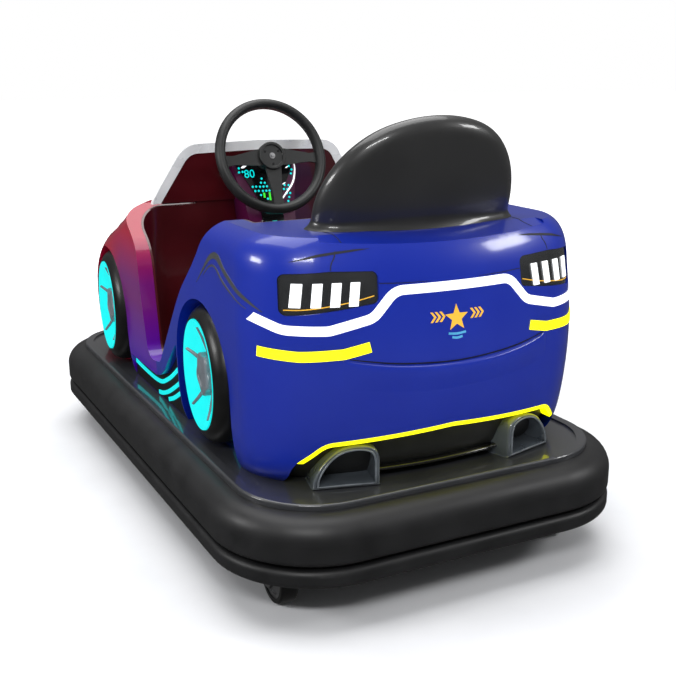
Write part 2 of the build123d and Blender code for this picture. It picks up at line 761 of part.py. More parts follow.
def make_side_wheels():
    about_x = Axis((0, 0, 0), (1, 0, 0))
    width = side_wheel_width
    bore = side_disc_radius + seat_gap
    outer = side_wheel_radius
    tyre = Polygon((-width, bore), (-3, bore), (-1, bore + 6), (-10, bore + 20), (-27, outer),
                   (-width + 16, outer), (-width, outer - 14), align=None)
    tyre = revolve(tyre, about_x)
    hole = stub_radius + seat_gap
    disc = Polygon((-width + 8, hole), (-width + 8, side_disc_radius), (0, side_disc_radius),
                   (-3, 0.93 * side_disc_radius), (-17, 0.7 * side_disc_radius),
                   (-dish_depth, 0.42 * side_disc_radius), (-dish_depth, hole), align=None)
    disc = revolve(disc, about_x)

    lift = 0.4
    hub = shaft_x(stub_radius, -width - 50, lift - dish_depth, 0, 0)
    cap = shaft_x(side_hub_radius, lift - dish_depth, lift - dish_depth + 14, 0, 0)
    hub += fillet(cap.edges().group_by(Axis.X)[-1], 4)
    reach = 0.86 * side_disc_radius
    shell = Polygon((lift - dish_depth, 0), (lift - dish_depth, 0.42 * side_disc_radius),
                    (lift - 17, 0.7 * side_disc_radius), (lift - 7.5, reach), (-2, reach),
                    (-9, 0.7 * side_disc_radius), (-19, 0.42 * side_disc_radius), (-19, 0), align=None)
    shell = revolve(shell, about_x)
    star = Sketch()
    for place in range(side_spokes):
        spoke = Polygon((0, -17), (reach + 5, -7), (reach + 5, 7), (0, 17), align=None)
        star += Rot(0, 0, 360 * place / side_spokes + 18) * spoke
    hub += along_x(star, -40, 5) & shell
    wall_x = wheel_pocket_depth() + seat_gap
    discs = Part()
    hubs = Part()
    for end, y in side_wheel_places.items():
        placed = side_wheel_place(tyre, y)
        save(placed, f"side_tyre_{end}_left")
        save(mirror(placed, about=Plane.YZ), f"side_tyre_{end}_right")
        discs += both_sides(side_wheel_place(disc, y))
        seated = side_wheel_place(hub, y) & block(wall_x, car_width, -1000, 1000, 0, 1000)
        hubs += both_sides(seated)
    save(discs, "side_discs")
    save(hubs, "side_hubs")


def cylinder_ring(outer, inner, width, edge):
    """A tyre round the X axis with rounded shoulders."""
    ring = Rot(0, 90, 0) * Cylinder(outer, width)
    ring = fillet(ring.edges(), edge)
    return ring - Rot(0, 90, 0) * Cylinder(inner, width + 2)


def make_rear_wheels():
    tread = 12.0
    core = rear_wheel_radius - tread
    place = Pos(rear_wheel_x, rear_wheel_y, rear_wheel_radius)
    tyre = cylinder_ring(rear_wheel_radius, core, rear_wheel_width, 5)
    hub = Rot(0, 90, 0) * Cylinder(core - seat_gap, rear_wheel_width - 6)
    for way in (-1, 1):
        dish = Rot(0, 90, 0) * (Cylinder(core - 9, 8) - Cylinder(21, 8))
        hub -= Pos(way * (rear_wheel_width - 6) / 2, 0, 0) * dish
    hub -= Rot(0, 90, 0) * Cylinder(axle_radius + running_gap, rear_wheel_width)

    cheek_x = rear_wheel_width / 2 + moving_gap
    top = rail_bottom - rear_wheel_radius
    plate = Polygon((-24, -16), (24, -16), (40, top), (-40, top), align=None)
    plate = fillet(plate.vertices().filter_by(lambda v: v.Y < 0), 14)
    cheek = along_x(plate, cheek_x, cheek_x + fork_plate)
    bracket = cheek + mirror(cheek, about=Plane.YZ)
    head = cheek_x + fork_plate
    bracket += block(-head, head, -40, 40, top - fork_plate, top)
    bracket += Rot(0, 90, 0) * Cylinder(axle_radius, 2 * head + 16)
    foot = bracket.bounding_box().max.Z
    bracket -= block(-100, 100, -100, 100, foot - seat_gap, foot + 1)
    bracket = place * bracket & slab(band_inset + band_thickness + seat_gap, 0, rail_bottom)
    save(both_sides(bracket), "rear_brackets")
    for side, turn in (("left", 0), ("right", 1)):
        for shape, name in ((tyre, "rear_tyre"), (hub, "rear_hub")):
            placed = place * shape
            if turn:
                placed = mirror(placed, about=Plane.YZ)
            save(placed, f"{name}_{side}")


def make_drive():
    place = Pos(0, drive_wheel_y, drive_wheel_radius)
    core = drive_wheel_radius - 18
    tyre = cylinder_ring(drive_wheel_radius, core, drive_wheel_width, 8)
    save(place * tyre, "drive_tyre")
    hub = Rot(0, 90, 0) * Cylinder(core - seat_gap, drive_wheel_width - 8)
    hub = fillet(hub.edges(), 5)
    for way in (-1, 1):
        hub += Pos(way * (drive_wheel_width / 2 - 3), 0, 0) * Rot(0, 90, 0) * Cylinder(34, 6)
    hub -= Rot(0, 90, 0) * Cylinder(axle_radius + running_gap, drive_wheel_width + 20)
    save(place * hub, "drive_hub")

    cheek_x = drive_wheel_width / 2 + moving_gap
    top = rail_bottom - moving_gap - drive_wheel_radius
    plate = Polygon((-20, -20), (20, -20), (34, 30), (34, top), (-34, top), (-34, 30), align=None)
    plate = fillet(plate.vertices().filter_by(lambda v: v.Y < 0), 16)
    cheek = along_x(plate, cheek_x, cheek_x + fork_plate)
    fork = cheek + mirror(cheek, about=Plane.YZ)
    head = cheek_x + fork_plate
    fork += block(-head, head, -34, 34, top - fork_plate, top)
    fork += Rot(0, 90, 0) * Cylinder(axle_radius, 2 * head + 16)
    fork += Pos(0, 0, top + rail_height / 2) * Cylinder(kingpin_radius, rail_height)
    save(place * fork, "drive_fork")


def main():
    os.makedirs("parts", exist_ok=True)
    make_bumper()
    make_deck()
    make_frame()
    make_body()
    make_body_lamps()
    make_tail()
    make_sills()
    make_cabin()
    make_cowl()
    make_steering_wheel(make_dash())
    make_headrest()
    make_side_wheels()
    make_rear_wheels()
    make_drive()


main()
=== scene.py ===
# %% [markdown]
# # A battery bumper car, seen from behind
# The car is a rubber-ringed tray with a moulded two-seat body on it. The rigid pieces come from
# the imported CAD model, and this script gives every one of them its finish, then adds what is
# too fine for CAD: the blown fin, tyres, pods, decals, display marks, pads, bolts and seams. New
# pieces are surfaces worked out with numpy from short formulas, so each can be read and changed.

import bmesh
import bpy
import numpy as np
from mathutils import Matrix


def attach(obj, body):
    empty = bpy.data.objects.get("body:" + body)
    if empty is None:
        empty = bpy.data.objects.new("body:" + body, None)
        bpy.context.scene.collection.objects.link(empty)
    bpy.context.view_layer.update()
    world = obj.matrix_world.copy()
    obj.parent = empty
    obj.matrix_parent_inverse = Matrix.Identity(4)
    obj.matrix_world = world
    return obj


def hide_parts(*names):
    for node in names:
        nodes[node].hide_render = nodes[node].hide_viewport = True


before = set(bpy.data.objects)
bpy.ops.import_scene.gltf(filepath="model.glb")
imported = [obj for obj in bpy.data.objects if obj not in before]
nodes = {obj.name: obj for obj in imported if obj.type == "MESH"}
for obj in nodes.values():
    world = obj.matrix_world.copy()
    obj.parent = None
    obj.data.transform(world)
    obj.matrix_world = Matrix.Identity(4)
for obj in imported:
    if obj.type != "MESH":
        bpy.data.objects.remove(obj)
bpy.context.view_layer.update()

# %% [markdown]
# The photograph looks down at the car's tail and left side from a little over head height. The
# camera's place and turn are written as numbers: the columns of its matrix are where the
# picture's right, up and backward directions point in the car's frame.

# %% Camera at the photograph's angle
camera_data = bpy.data.cameras.new("camera")
camera_data.lens = 54.83
camera_data.sensor_width = 36.0
camera_data.shift_x = -0.0123
camera_data.shift_y = 0.0091
camera = bpy.data.objects.new("camera", camera_data)
bpy.context.scene.collection.objects.link(camera)
turn = np.eye(4)
turn[:3, 0] = [-0.8867, 0.4623, 0.0007]
turn[:3, 1] = [-0.1221, -0.2355, 0.9642]
turn[:3, 2] = [0.4459, 0.8549, 0.2653]
turn[:3, 3] = [1.2069, 2.6073, 1.1673]
camera.matrix_world = Matrix(turn.tolist())
bpy.context.scene.camera = camera
print("camera at", turn[:3, 3].tolist())

# %% [markdown]
# A bright studio. The camera sees a white backdrop, while the light that falls on the car from
# all round is dimmer towards the horizon than overhead, so that upright panels keep their deep
# colour. One very large softbox overhead lights the floor and the tops of the panels, and three
# lamps behind and beside the car draw the highlights on the paint. Two small functions add a
# shader's nodes and fill their inputs; the finishes further down use them too.

# %% World and lamps
horizon_light, zenith_light, backdrop_light = 0.10, 0.42, 1.0


def fill(tree, node, inputs):
    """Gives each named input a value, or another node's output to follow."""
    for socket, value in inputs.items():
        if isinstance(value, bpy.types.NodeSocket):
            tree.links.new(value, node.inputs[socket])
        else:
            node.inputs[socket].default_value = value
    return node


def add_node(tree, kind, inputs=None, **settings):
    """A new node of one kind with its settings and its filled inputs."""
    node = tree.nodes.new(kind)
    for name, value in settings.items():
        setattr(node, name, value)
    return fill(tree, node, inputs or {})


world = bpy.data.worlds.new("studio")
world.use_nodes = True
sky = world.node_tree
direction = add_node(sky, "ShaderNodeTexCoord").outputs["Generated"]
upward = add_node(sky, "ShaderNodeSeparateXYZ", {"Vector": direction}).outputs["Z"]
light = add_node(sky, "ShaderNodeMapRange", {"Value": upward, "To Min": horizon_light,
                                             "To Max": zenith_light}).outputs["Result"]
seen = add_node(sky, "ShaderNodeLightPath").outputs["Is Camera Ray"]
strength = add_node(sky, "ShaderNodeMix", {0: seen, 2: light, 3: backdrop_light}).outputs[0]
fill(sky, sky.nodes["Background"], {"Color": (1.0, 1.0, 1.0, 1.0), "Strength": strength})
bpy.context.scene.world = world
bpy.context.scene.view_settings.view_transform = "Standard"


def add_lamp(name, place, target, size, power):
    """An area lamp at place that faces target: its local -Z axis points along target - place."""
    data = bpy.data.lights.new(name, "AREA")
    data.shape = "RECTANGLE"
    data.size, data.size_y = size
    data.energy = power
    lamp = bpy.data.objects.new(name, data)
    bpy.context.scene.collection.objects.link(lamp)
    away = np.array(place, float) - np.array(target, float)
    away /= np.linalg.norm(away)
    side = np.cross([0.0, 0.0, 1.0], away)
    side /= np.linalg.norm(side)
    grid = np.eye(4)
    grid[:3, 0], grid[:3, 1], grid[:3, 2] = side, np.cross(away, side), away
    grid[:3, 3] = place
    lamp.matrix_world = Matrix(grid.tolist())


add_lamp("overhead", (0.0, -0.6, 4.6), (0.0, -0.5, 0.0), (5.0, 5.0), 250)
add_lamp("key", (2.0, 3.4, 3.0), (0.0, 0.3, 0.5), (1.8, 0.3), 60)
add_lamp("side", (3.6, -0.4, 1.9), (0.0, -0.2, 0.5), (1.2, 0.5), 42)
add_lamp("far", (-2.8, 2.4, 2.2), (0.0, 0.3, 0.5), (1.0, 0.6), 34)
print("lamps are in")


# %% [markdown]
# Every finish is built the same way: a Principled shader, one broad noise that shifts the colour
# and the roughness a little, as handling and dust do, and one fine noise that lifts the surface.
# All of them read Object coordinates, so the pattern keeps its real size on every piece. Colours
# are given as a screen shows them, 0 to 255, and turned into the light values a shader needs.

# %% A finish from two noises
def shade(red, green, blue):
    """Screen values to light: the value over 255 to the power 2.2."""
    return tuple(float(v) for v in (np.array([red, green, blue]) / 255.0) ** 2.2)


def link_noise(tree, scale, detail=4.0):
    """Noise read at Object coordinates; scale is its cells per metre."""
    place = add_node(tree, "ShaderNodeTexCoord").outputs["Object"]
    noise = add_node(tree, "ShaderNodeTexNoise", {"Vector": place, "Scale": scale, "Detail": detail})
    return noise.outputs["Fac"]


def link_ramp(tree, value, stops):
    """A colour ramp over value; stops are (position, colour) pairs."""
    ramp = tree.nodes.new("ShaderNodeValToRGB")
    while len(ramp.color_ramp.elements) < len(stops):
        ramp.color_ramp.elements.new(0.5)
    for element, (position, color) in zip(ramp.color_ramp.elements, stops):
        element.position = position
        element.color = (*color, 1.0)
    tree.links.new(value, ramp.inputs["Fac"])
    return ramp.outputs["Color"]


def link_range(tree, value, low, high, from_low=0.3, from_high=0.7):
    """value from from_low..from_high, moved to low..high."""
    ends = {"From Min": from_low, "From Max": from_high, "To Min": low, "To Max": high}
    return add_node(tree, "ShaderNodeMapRange", {"Value": value, **ends}).outputs["Result"]


def link_mix(tree, share, first, second):
    """Colour first where share is 0, second where it is 1."""
    inputs = {"Factor": share, 6: first, 7: second}
    return add_node(tree, "ShaderNodeMix", inputs, data_type="RGBA").outputs[2]


def dress(node_names, finish):
    """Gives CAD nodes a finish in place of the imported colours."""
    for node_name in node_names:
        slots = nodes[node_name].data.materials
        slots.clear()
        slots.append(finish)


def make_finish(name, dark, light, rough, on=(), metal=0.0, coat=0.0, coat_rough=0.04,
                broad=6.0, fine=900.0, lift=0.00002, sheen=0.0, gloss=0.5):
    """The colour runs from dark to light and the roughness from rough[0] to rough[1] with one
    broad noise; a fine noise lifts the surface by lift metres. gloss is how strongly the
    surface under any coat reflects; 0.5 is what plastic does. The CAD nodes named in on wear
    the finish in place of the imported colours."""
    finish = bpy.data.materials.new(name)
    finish.use_nodes = True
    tree = finish.node_tree
    wide = link_noise(tree, broad)
    grain = link_noise(tree, fine, detail=2.0)
    bump = add_node(tree, "ShaderNodeBump", {"Height": grain, "Distance": lift})
    fill(tree, tree.nodes["Principled BSDF"], {
        "Metallic": metal, "Coat Weight": coat, "Coat Roughness": coat_rough,
        "Sheen Weight": sheen, "Specular IOR Level": gloss,
        "Base Color": link_ramp(tree, wide, [(0.3, dark), (0.7, light)]),
        "Roughness": link_range(tree, wide, rough[0], rough[1]),
        "Normal": bump.outputs["Normal"]})
    dress(on, finish)
    return finish


# %% [markdown]
# The floor is pale and lit by the softbox. Further from the car it glows more and more, so that
# it runs into the white backdrop without a horizon. Mirror-like rays pass through it, because
# its reflection would veil the dark gloss low on the body.

# %% Floor
glow_from, glow_full = 1.3, 3.6
floor_white = make_finish(
    "floor_white", shade(236, 237, 240), shade(240, 241, 244), (0.6, 0.7), gloss=0.2)
floor_tree = floor_white.node_tree
floor_place = add_node(floor_tree, "ShaderNodeTexCoord").outputs["Object"]
floor_reach = add_node(floor_tree, "ShaderNodeVectorMath", {0: floor_place}, operation="LENGTH")
floor_glow = link_range(floor_tree, floor_reach.outputs["Value"], 0.0, 1.0, glow_from, glow_full)
fill(floor_tree, floor_tree.nodes["Principled BSDF"],
     {"Emission Color": (1.0, 1.0, 1.0, 1.0), "Emission Strength": floor_glow})
bpy.ops.mesh.primitive_plane_add(size=60.0, location=(0.0, 0.0, -0.0005))
floor = bpy.context.object
floor.name = "floor"
floor.data.materials.append(floor_white)
floor.visible_glossy = False

# %% [markdown]
# The two body halves are gel-coated fibreglass under clear lacquer. The lacquer is the shader's
# coat, which reflects the studio more sharply than the colour under it does. The nose is red
# and fades to purple and then violet at the door jamb, so its colour is mixed from how far back
# and how high a point lies.

# %% Painted body and deck
blue_gelcoat = make_finish(
    "blue_gelcoat", shade(8, 36, 140), shade(12, 42, 152), (0.3, 0.38), coat=0.7, coat_rough=0.12,
    broad=3.0, fine=260.0, gloss=0.3, on=["rear_body"])

fade_back, fade_crest, fade_foot = (-0.42, -0.30), (0.57, 0.70), (0.34, 0.52)


def fade_front(finish):
    """Red nose to purple jamb along Y from -0.42 to -0.30 m, but only below the crest: the share
    is back_share times a share that falls from 1 to 0 over Z 0.57 to 0.70 m. The jamb turns
    violet at its foot along Z from 0.52 down to 0.34 m."""
    tree = finish.node_tree
    shader = tree.nodes["Principled BSDF"]
    red = shader.inputs["Base Color"].links[0].from_socket
    place = add_node(tree, "ShaderNodeTexCoord").outputs["Object"]
    split = add_node(tree, "ShaderNodeSeparateXYZ", {"Vector": place})
    back_share = link_range(tree, split.outputs["Y"], 0.0, 1.0, *fade_back)
    under_share = link_range(tree, split.outputs["Z"], 1.0, 0.0, *fade_crest)
    both = add_node(tree, "ShaderNodeMath", {0: back_share, 1: under_share}, operation="MULTIPLY")
    low_share = link_range(tree, split.outputs["Z"], 1.0, 0.0, *fade_foot)
    jamb = link_mix(tree, low_share, (*shade(104, 18, 104), 1.0), (*shade(70, 8, 160), 1.0))
    fill(tree, shader, {"Base Color": link_mix(tree, both.outputs[0], red, jamb)})


red_gelcoat = make_finish(
    "red_gelcoat", shade(150, 10, 44), shade(162, 14, 52), (0.3, 0.38), coat=0.7, coat_rough=0.1,
    broad=3.0, fine=260.0, gloss=0.3)
fade_front(red_gelcoat)
dress(["front_body"], red_gelcoat)

make_finish(
    "cabin_lacquer", shade(64, 2, 14), shade(78, 4, 18), (0.3, 0.38), coat=0.8, broad=4.0, fine=300.0,
    on=["cabin_tub", "cowl"])

make_finish(
    "deck_lacquer", shade(50, 51, 54), shade(58, 59, 62), (0.3, 0.4), coat=0.9, coat_rough=0.06,
    broad=9.0, fine=380.0, on=["deck_tray"])

# %% [markdown]
# Rubber is dull and a little mottled; moulded plastic has a fine grain; steel under the car is
# painted or brushed and wears brighter in patches.

# %% Rubber, plastic and steel
make_finish(
    "ring_rubber", shade(26, 26, 27), shade(33, 33, 34), (0.42, 0.52), broad=14.0, fine=1400.0,
    lift=0.00004, on=["bumper_lower_ring", "bumper_upper_ring"])

tyre_rubber = make_finish(
    "tyre_rubber", shade(14, 14, 14), shade(20, 20, 20), (0.3, 0.4), broad=30.0, fine=1800.0,
    lift=0.00005, on=[name for name in nodes if "tyre" in name])

make_finish(
    "grained_black", shade(30, 31, 31), shade(36, 37, 37), (0.42, 0.5), broad=20.0, fine=2200.0,
    lift=0.00005, on=["steering_rim", "steering_hub", "seat_bench", "battery_box", "diffuser"])

gloss_black = make_finish(
    "gloss_black", shade(20, 20, 21), shade(26, 26, 27), (0.12, 0.2), coat=0.6, broad=10.0, fine=500.0,
    lift=0.00001, on=["front_grille", "display_screen"])

satin_black = make_finish(
    "satin_black", shade(10, 10, 11), shade(16, 16, 17), (0.4, 0.5), broad=10.0, fine=900.0,
    on=["sill_panels"])

fin_plastic = make_finish(
    "fin_plastic", shade(36, 36, 36), shade(40, 40, 40), (0.34, 0.42), coat=0.5, coat_rough=0.07,
    broad=8.0, fine=1500.0)

make_finish(
    "smoked_lens", shade(36, 37, 38), shade(44, 45, 46), (0.2, 0.28), coat=0.8, broad=12.0, fine=700.0,
    on=["tail_lamps", "headlamps"])

pod_plastic = make_finish(
    "pod_plastic", shade(72, 78, 84), shade(86, 92, 98), (0.26, 0.36), coat=1.0, coat_rough=0.05,
    broad=18.0, fine=1100.0)

hub_plastic = make_finish(
    "hub_plastic", shade(92, 98, 104), shade(112, 118, 124), (0.26, 0.36), coat=0.4, coat_rough=0.1,
    broad=30.0, fine=1100.0)

make_finish(
    "silver_lacquer", shade(240, 242, 244), shade(250, 251, 252), (0.24, 0.34), metal=0.1, coat=0.3,
    broad=10.0, fine=900.0, on=["cowl_trim"])

make_finish(
    "console_purple", shade(74, 10, 56), shade(86, 14, 64), (0.3, 0.38), coat=0.6, broad=7.0,
    fine=600.0, on=["dash_pod"])

make_finish(
    "frame_paint", shade(28, 28, 29), shade(44, 43, 42), (0.4, 0.6), broad=22.0, fine=700.0,
    lift=0.00006, on=["frame_rails", "frame_cross_members", "frame_outriggers", "bumper_band"])

worn_steel = make_finish(
    "worn_steel", shade(140, 140, 142), shade(178, 178, 180), (0.3, 0.5), metal=1.0, broad=40.0,
    fine=1300.0, lift=0.00003,
    on=["steering_column", "pedal", "rear_brackets", "drive_fork", "drive_hub", "rear_hub_left",
        "rear_hub_right"])

pad_vinyl = make_finish(
    "pad_vinyl", shade(30, 30, 32), shade(40, 40, 42), (0.42, 0.54), broad=12.0, fine=1600.0,
    lift=0.00008, sheen=0.1)


# %% [markdown]
# The light strips are diffusing plastic with lamps behind them. They glow, so the shader's own
# emission carries the colour, and a faint noise keeps the glow from looking printed.

# %% Glowing strips
def make_glow(name, color, strength, body=0.5):
    """A plastic that shines: its light is 8 percent dimmer where a noise is low, and its own
    colour under the light is the glow's colour times body."""
    under = tuple(body * c for c in color)
    glow = make_finish(name, tuple(0.8 * c for c in under), under, (0.3, 0.4), broad=25.0)
    tree = glow.node_tree
    dim = tuple(0.92 * c for c in color)
    shine = link_ramp(tree, link_noise(tree, 18.0), [(0.3, dim), (0.7, color)])
    fill(tree, tree.nodes["Principled BSDF"],
         {"Emission Color": shine, "Emission Strength": strength})
    return glow


white_glow = make_glow("white_glow", (0.95, 0.97, 1.0), 1.2)
dress(["tail_lamp_bars", "rear_light_strip"], white_glow)
yellow_glow = make_glow("yellow_glow", (1.0, 0.98, 0.0), 1.5, 0.3)
dress(["yellow_strips", "diffuser_light"], yellow_glow)
cyan_glow = make_glow("cyan_glow", (0.0, 1.0, 1.0), 0.75, 0.25)
dress(["side_discs", "sill_lights"], cyan_glow)
green_glow = make_glow("green_glow", (0.05, 0.9, 0.03), 0.8)
amber_glow = make_glow("amber_glow", (0.95, 0.5, 0.04), 0.35, 0.8)
print("finishes:", len(bpy.data.materials))


# %% [markdown]
# Every new piece starts as arrays. A grid of points with rows and columns is joined into four-
# sided faces; a profile carried along a path is such a grid too. What is left open at the ends is
# filled, doubled points are merged and the faces are turned outwards before the piece gets its
# finish and its body.

# %% From arrays to pieces
def grid_faces(rows, cols, wrap_rows=False, wrap_cols=False):
    """Face (i, j) joins points (i, j), (i+1, j), (i+1, j+1), (i, j+1), counted round if wrapped."""
    i, j = np.meshgrid(np.arange(rows if wrap_rows else rows - 1),
                       np.arange(cols if wrap_cols else cols - 1), indexing="ij")
    below, beside = (i + 1) % rows, (j + 1) % cols
    corners = [i * cols + j, below * cols + j, below * cols + beside, i * cols + beside]
    return np.stack(corners, axis=-1).reshape(-1, 4)


def grid_part(points, wrap_rows=False, wrap_cols=False):
    """A (rows, cols, 3) array as one part: its points in a row and its faces."""
    rows, cols = points.shape[:2]
    return points.reshape(-1, 3), grid_faces(rows, cols, wrap_rows, wrap_cols).tolist()


def join_parts(parts):
    """Several parts as one: each part's faces count on from the points before it."""
    starts = np.cumsum([0] + [len(points) for points, _ in parts])
    faces = [[int(start) + index for index in face]
             for start, (_, part_faces) in zip(starts, parts) for face in part_faces]
    return np.concatenate([points for points, _ in parts]), faces


def add_mesh(name, part, finish):
    """A mesh object at the origin from one part's points and faces."""
    points, faces = part
    mesh = bpy.data.meshes.new(name)
    mesh.from_pydata(np.asarray(points).tolist(), [], faces)
    piece = bpy.data.objects.new(name, mesh)
    bpy.context.scene.collection.objects.link(piece)
    mesh.materials.append(finish)
    return piece


def bake(draft):
    """The mesh of an object or curve with its modifiers applied."""
    graph = bpy.context.evaluated_depsgraph_get()
    return bpy.data.meshes.new_from_object(draft.evaluated_get(graph))


def add_baked(name, draft):
    """The draft's baked mesh as a new object at the origin, in the draft's place."""
    mesh = bake(draft)
    bpy.data.objects.remove(draft)
    piece = bpy.data.objects.new(name, mesh)
    bpy.context.scene.collection.objects.link(piece)
    return piece


def read_points(mesh):
    """The mesh's points as an (n, 3) array."""
    flat = np.empty(len(mesh.vertices) * 3)
    mesh.vertices.foreach_get("co", flat)
    return flat.reshape(-1, 3)


def finish_piece(piece, body, sharp=35.0):
    """Closes, turns outwards and smooths a piece, then gives it its body."""
    work = bmesh.new()
    work.from_mesh(piece.data)
    bmesh.ops.remove_doubles(work, verts=work.verts, dist=1e-6)
    bmesh.ops.holes_fill(work, edges=work.edges, sides=0)
    bmesh.ops.recalc_face_normals(work, faces=work.faces)
    work.to_mesh(piece.data)
    work.free()
    piece.data.shade_smooth()
    piece.data.set_sharp_from_angle(angle=np.radians(sharp))
    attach(piece, body)
    return piece


def add_piece(name, part, finish, body, sharp=35.0):
    """add_mesh and finish_piece in one call."""
    return finish_piece(add_mesh(name, part, finish), body, sharp)


def smooth_line(points, count, closed=False):
    """A curve through points: between two of them it is a cubic whose end slopes are half the
    step from the neighbour before to the neighbour after (Catmull-Rom)."""
    points = np.array(points, float)
    if closed:
        padded = np.concatenate([points[-1:], points, points[:2]])
        spans = len(points)
    else:
        padded = np.concatenate([2 * points[:1] - points[1:2], points,
                                 2 * points[-1:] - points[-2:-1]])
        spans = len(points) - 1
    at = np.linspace(0, spans, count, endpoint=not closed)
    first = np.minimum(at.astype(int), spans - 1)
    f = (at - first)[:, None]
    a, b, c, d = (padded[first + k] for k in range(4))
    return 0.5 * (2 * b + (c - a) * f + (2 * a - 5 * b + 4 * c - d) * f ** 2
                  + (3 * b - a - 3 * c + d) * f ** 3)


def prism_part(outline, origin, x_dir, y_dir, rise):
    """A flat outline stood up by the vector rise: point = origin + u x_dir + v y_dir."""
    outline = np.array(outline, float)
    foot = np.array(origin, float) + outline[:, :1] * np.array(x_dir) + outline[:, 1:] * np.array(y_dir)
    points, faces = grid_part(np.stack([foot, foot + np.array(rise)]), wrap_cols=True)
    count = len(outline)
    faces += [list(range(count)), list(range(count, 2 * count))]
    return points, faces


def ring_outline(radius, count):
    """count points round a circle."""
    angle = np.linspace(0, 2 * np.pi, count, endpoint=False)
    return np.stack([radius * np.cos(angle), radius * np.sin(angle)], axis=1)


def sweep_part(path, profile, side, rise, closed=False):
    """point = path + profile_u side + profile_v rise, for each path and profile point."""
    path, profile = np.array(path, float), np.array(profile, float)
    side = np.broadcast_to(side, path.shape)
    rise = np.broadcast_to(rise, path.shape)
    points = (path[:, None] + profile[None, :, :1] * side[:, None]
              + profile[None, :, 1:] * rise[:, None])
    return grid_part(points, wrap_rows=closed, wrap_cols=True)


# %% [markdown]
# The fin behind the seats is a blown plastic moulding: two nearly flat faces whose rim rolls over
# in a half round, bowed as the tail is bowed, with a foot that flares onto the deck. Its outline
# is the CAD's: short upright ends, two shoulder arcs and one wide arc over the top. Rays run from
# a line on the deck, 0.55 as wide as the fin, out to the outline, and each ray carries the rim's
# round at its outer end.

# %% Fin
fin_half, fin_foot, fin_top = 0.2536, 0.8163, 1.0573
fin_rear, fin_bulge, fin_thick = 0.692, 0.0376, 0.084
fin_upright, fin_rim, fin_lean = 0.0242, 0.052, 0.305
fin_spine, fin_crown, fin_flare, fin_flare_height = 0.55, 0.004, 0.013, 0.022
slope_start, slope_fall = 0.690, 0.2235


def fin_outline(count):
    """Short upright ends, a shoulder arc of radius s = 0.97 of the rise, and a top arc whose
    radius w = (rise^2 + i^2 - s^2) / (2 (rise - s)), with i = half width - s, meets it smoothly."""
    shoulder = fin_foot + fin_upright
    rise = fin_top - shoulder
    s = 0.97 * min(fin_half, rise)
    i = fin_half - s
    w = (rise ** 2 + i ** 2 - s ** 2) / (2 * (rise - s))
    meet = np.arctan2(w - rise, i)
    low = np.linspace(0, meet, count)
    low_arc = np.stack([i + s * np.cos(low), shoulder + s * np.sin(low)], axis=1)
    high = np.linspace(meet, np.pi / 2, count)
    high_arc = np.stack([w * np.cos(high), fin_top - w + w * np.sin(high)], axis=1)
    upright = np.stack([np.full(6, fin_half), np.linspace(fin_foot, shoulder, 7)[:-1]], axis=1)
    half_line = np.concatenate([upright, low_arc, high_arc[1:]])
    return np.concatenate([half_line, (half_line * [-1, 1])[-2::-1]])


def fin_surface():
    """Distance d in from the rim and half thickness h: over the round, d = r (1 - cos a) and
    h = t sin a; inside it h stays t, with 4 mm of crown. y = bow(x) + lean (z - foot) +- h. The
    lowest 22 mm flare outwards, and follow the deck down where it slopes."""
    rim = fin_outline(34)
    spine = np.stack([fin_spine * rim[:, 0], np.full(len(rim), fin_foot)], axis=1)
    length = np.linalg.norm(rim - spine, axis=1)[:, None]
    inward = (spine - rim) / length
    angle = np.linspace(0, np.pi / 2, 15)[None]
    round_d = fin_rim * (1 - np.cos(angle)) * np.ones_like(length)
    flat_d = fin_rim + (length - fin_rim) * np.linspace(0, 1, 15)[None, 1:]
    crown = fin_crown * np.sin(np.pi / 2 * (flat_d - fin_rim) / (length - fin_rim))
    half = fin_thick / 2 - fin_crown
    round_h = half * np.sin(angle) * np.ones_like(length)
    d = np.concatenate([round_d, flat_d], axis=1)
    h = np.concatenate([round_h, half + crown], axis=1)
    d = np.concatenate([d[:, ::-1], d[:, 1:]], axis=1)
    h = np.concatenate([h[:, ::-1], -h[:, 1:]], axis=1)
    flat = rim[:, None] + inward[:, None] * d[..., None]
    bow = (fin_half ** 2 + fin_bulge ** 2) / (2 * fin_bulge)
    middle = (fin_rear - fin_thick / 2 - bow + np.sqrt(bow ** 2 - flat[..., 0] ** 2)
              + fin_lean * (flat[..., 1] - fin_foot))
    points = np.stack([flat[..., 0], middle + h, flat[..., 1]], axis=-1)
    out = np.cross(np.gradient(points, axis=0), np.gradient(points, axis=1))
    faces_back = np.sign(out[len(rim) // 2, 5, 1])
    out *= faces_back / np.maximum(np.linalg.norm(out, axis=-1, keepdims=True), 1e-12)
    low = np.clip(1 - (points[..., 2:] - fin_foot) / fin_flare_height, 0, 1)
    points = points + fin_flare * low ** 2 * out * [1, 1, 0]
    fall = slope_fall * np.maximum(points[..., 1:2] - slope_start, 0)
    return points - low * fall * [0, 0, 1]


fin = add_piece("fin_blown", grid_part(fin_surface()), fin_plastic, "chassis", sharp=50)
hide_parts("headrest_fin")
print("fin faces:", len(fin.data.polygons))


# %% [markdown]
# The four wheels on the body's sides are dummies: a smooth plastic tyre, a lit dish and a hub with
# five thin arms. The tyre's section is one soft curve turned about the wheel's axle, which toes
# out by five degrees. The hub's middle is a low dome whose edge is a circle with a five-fold wave,
# and each arm is an oval bar that lies along the dish.

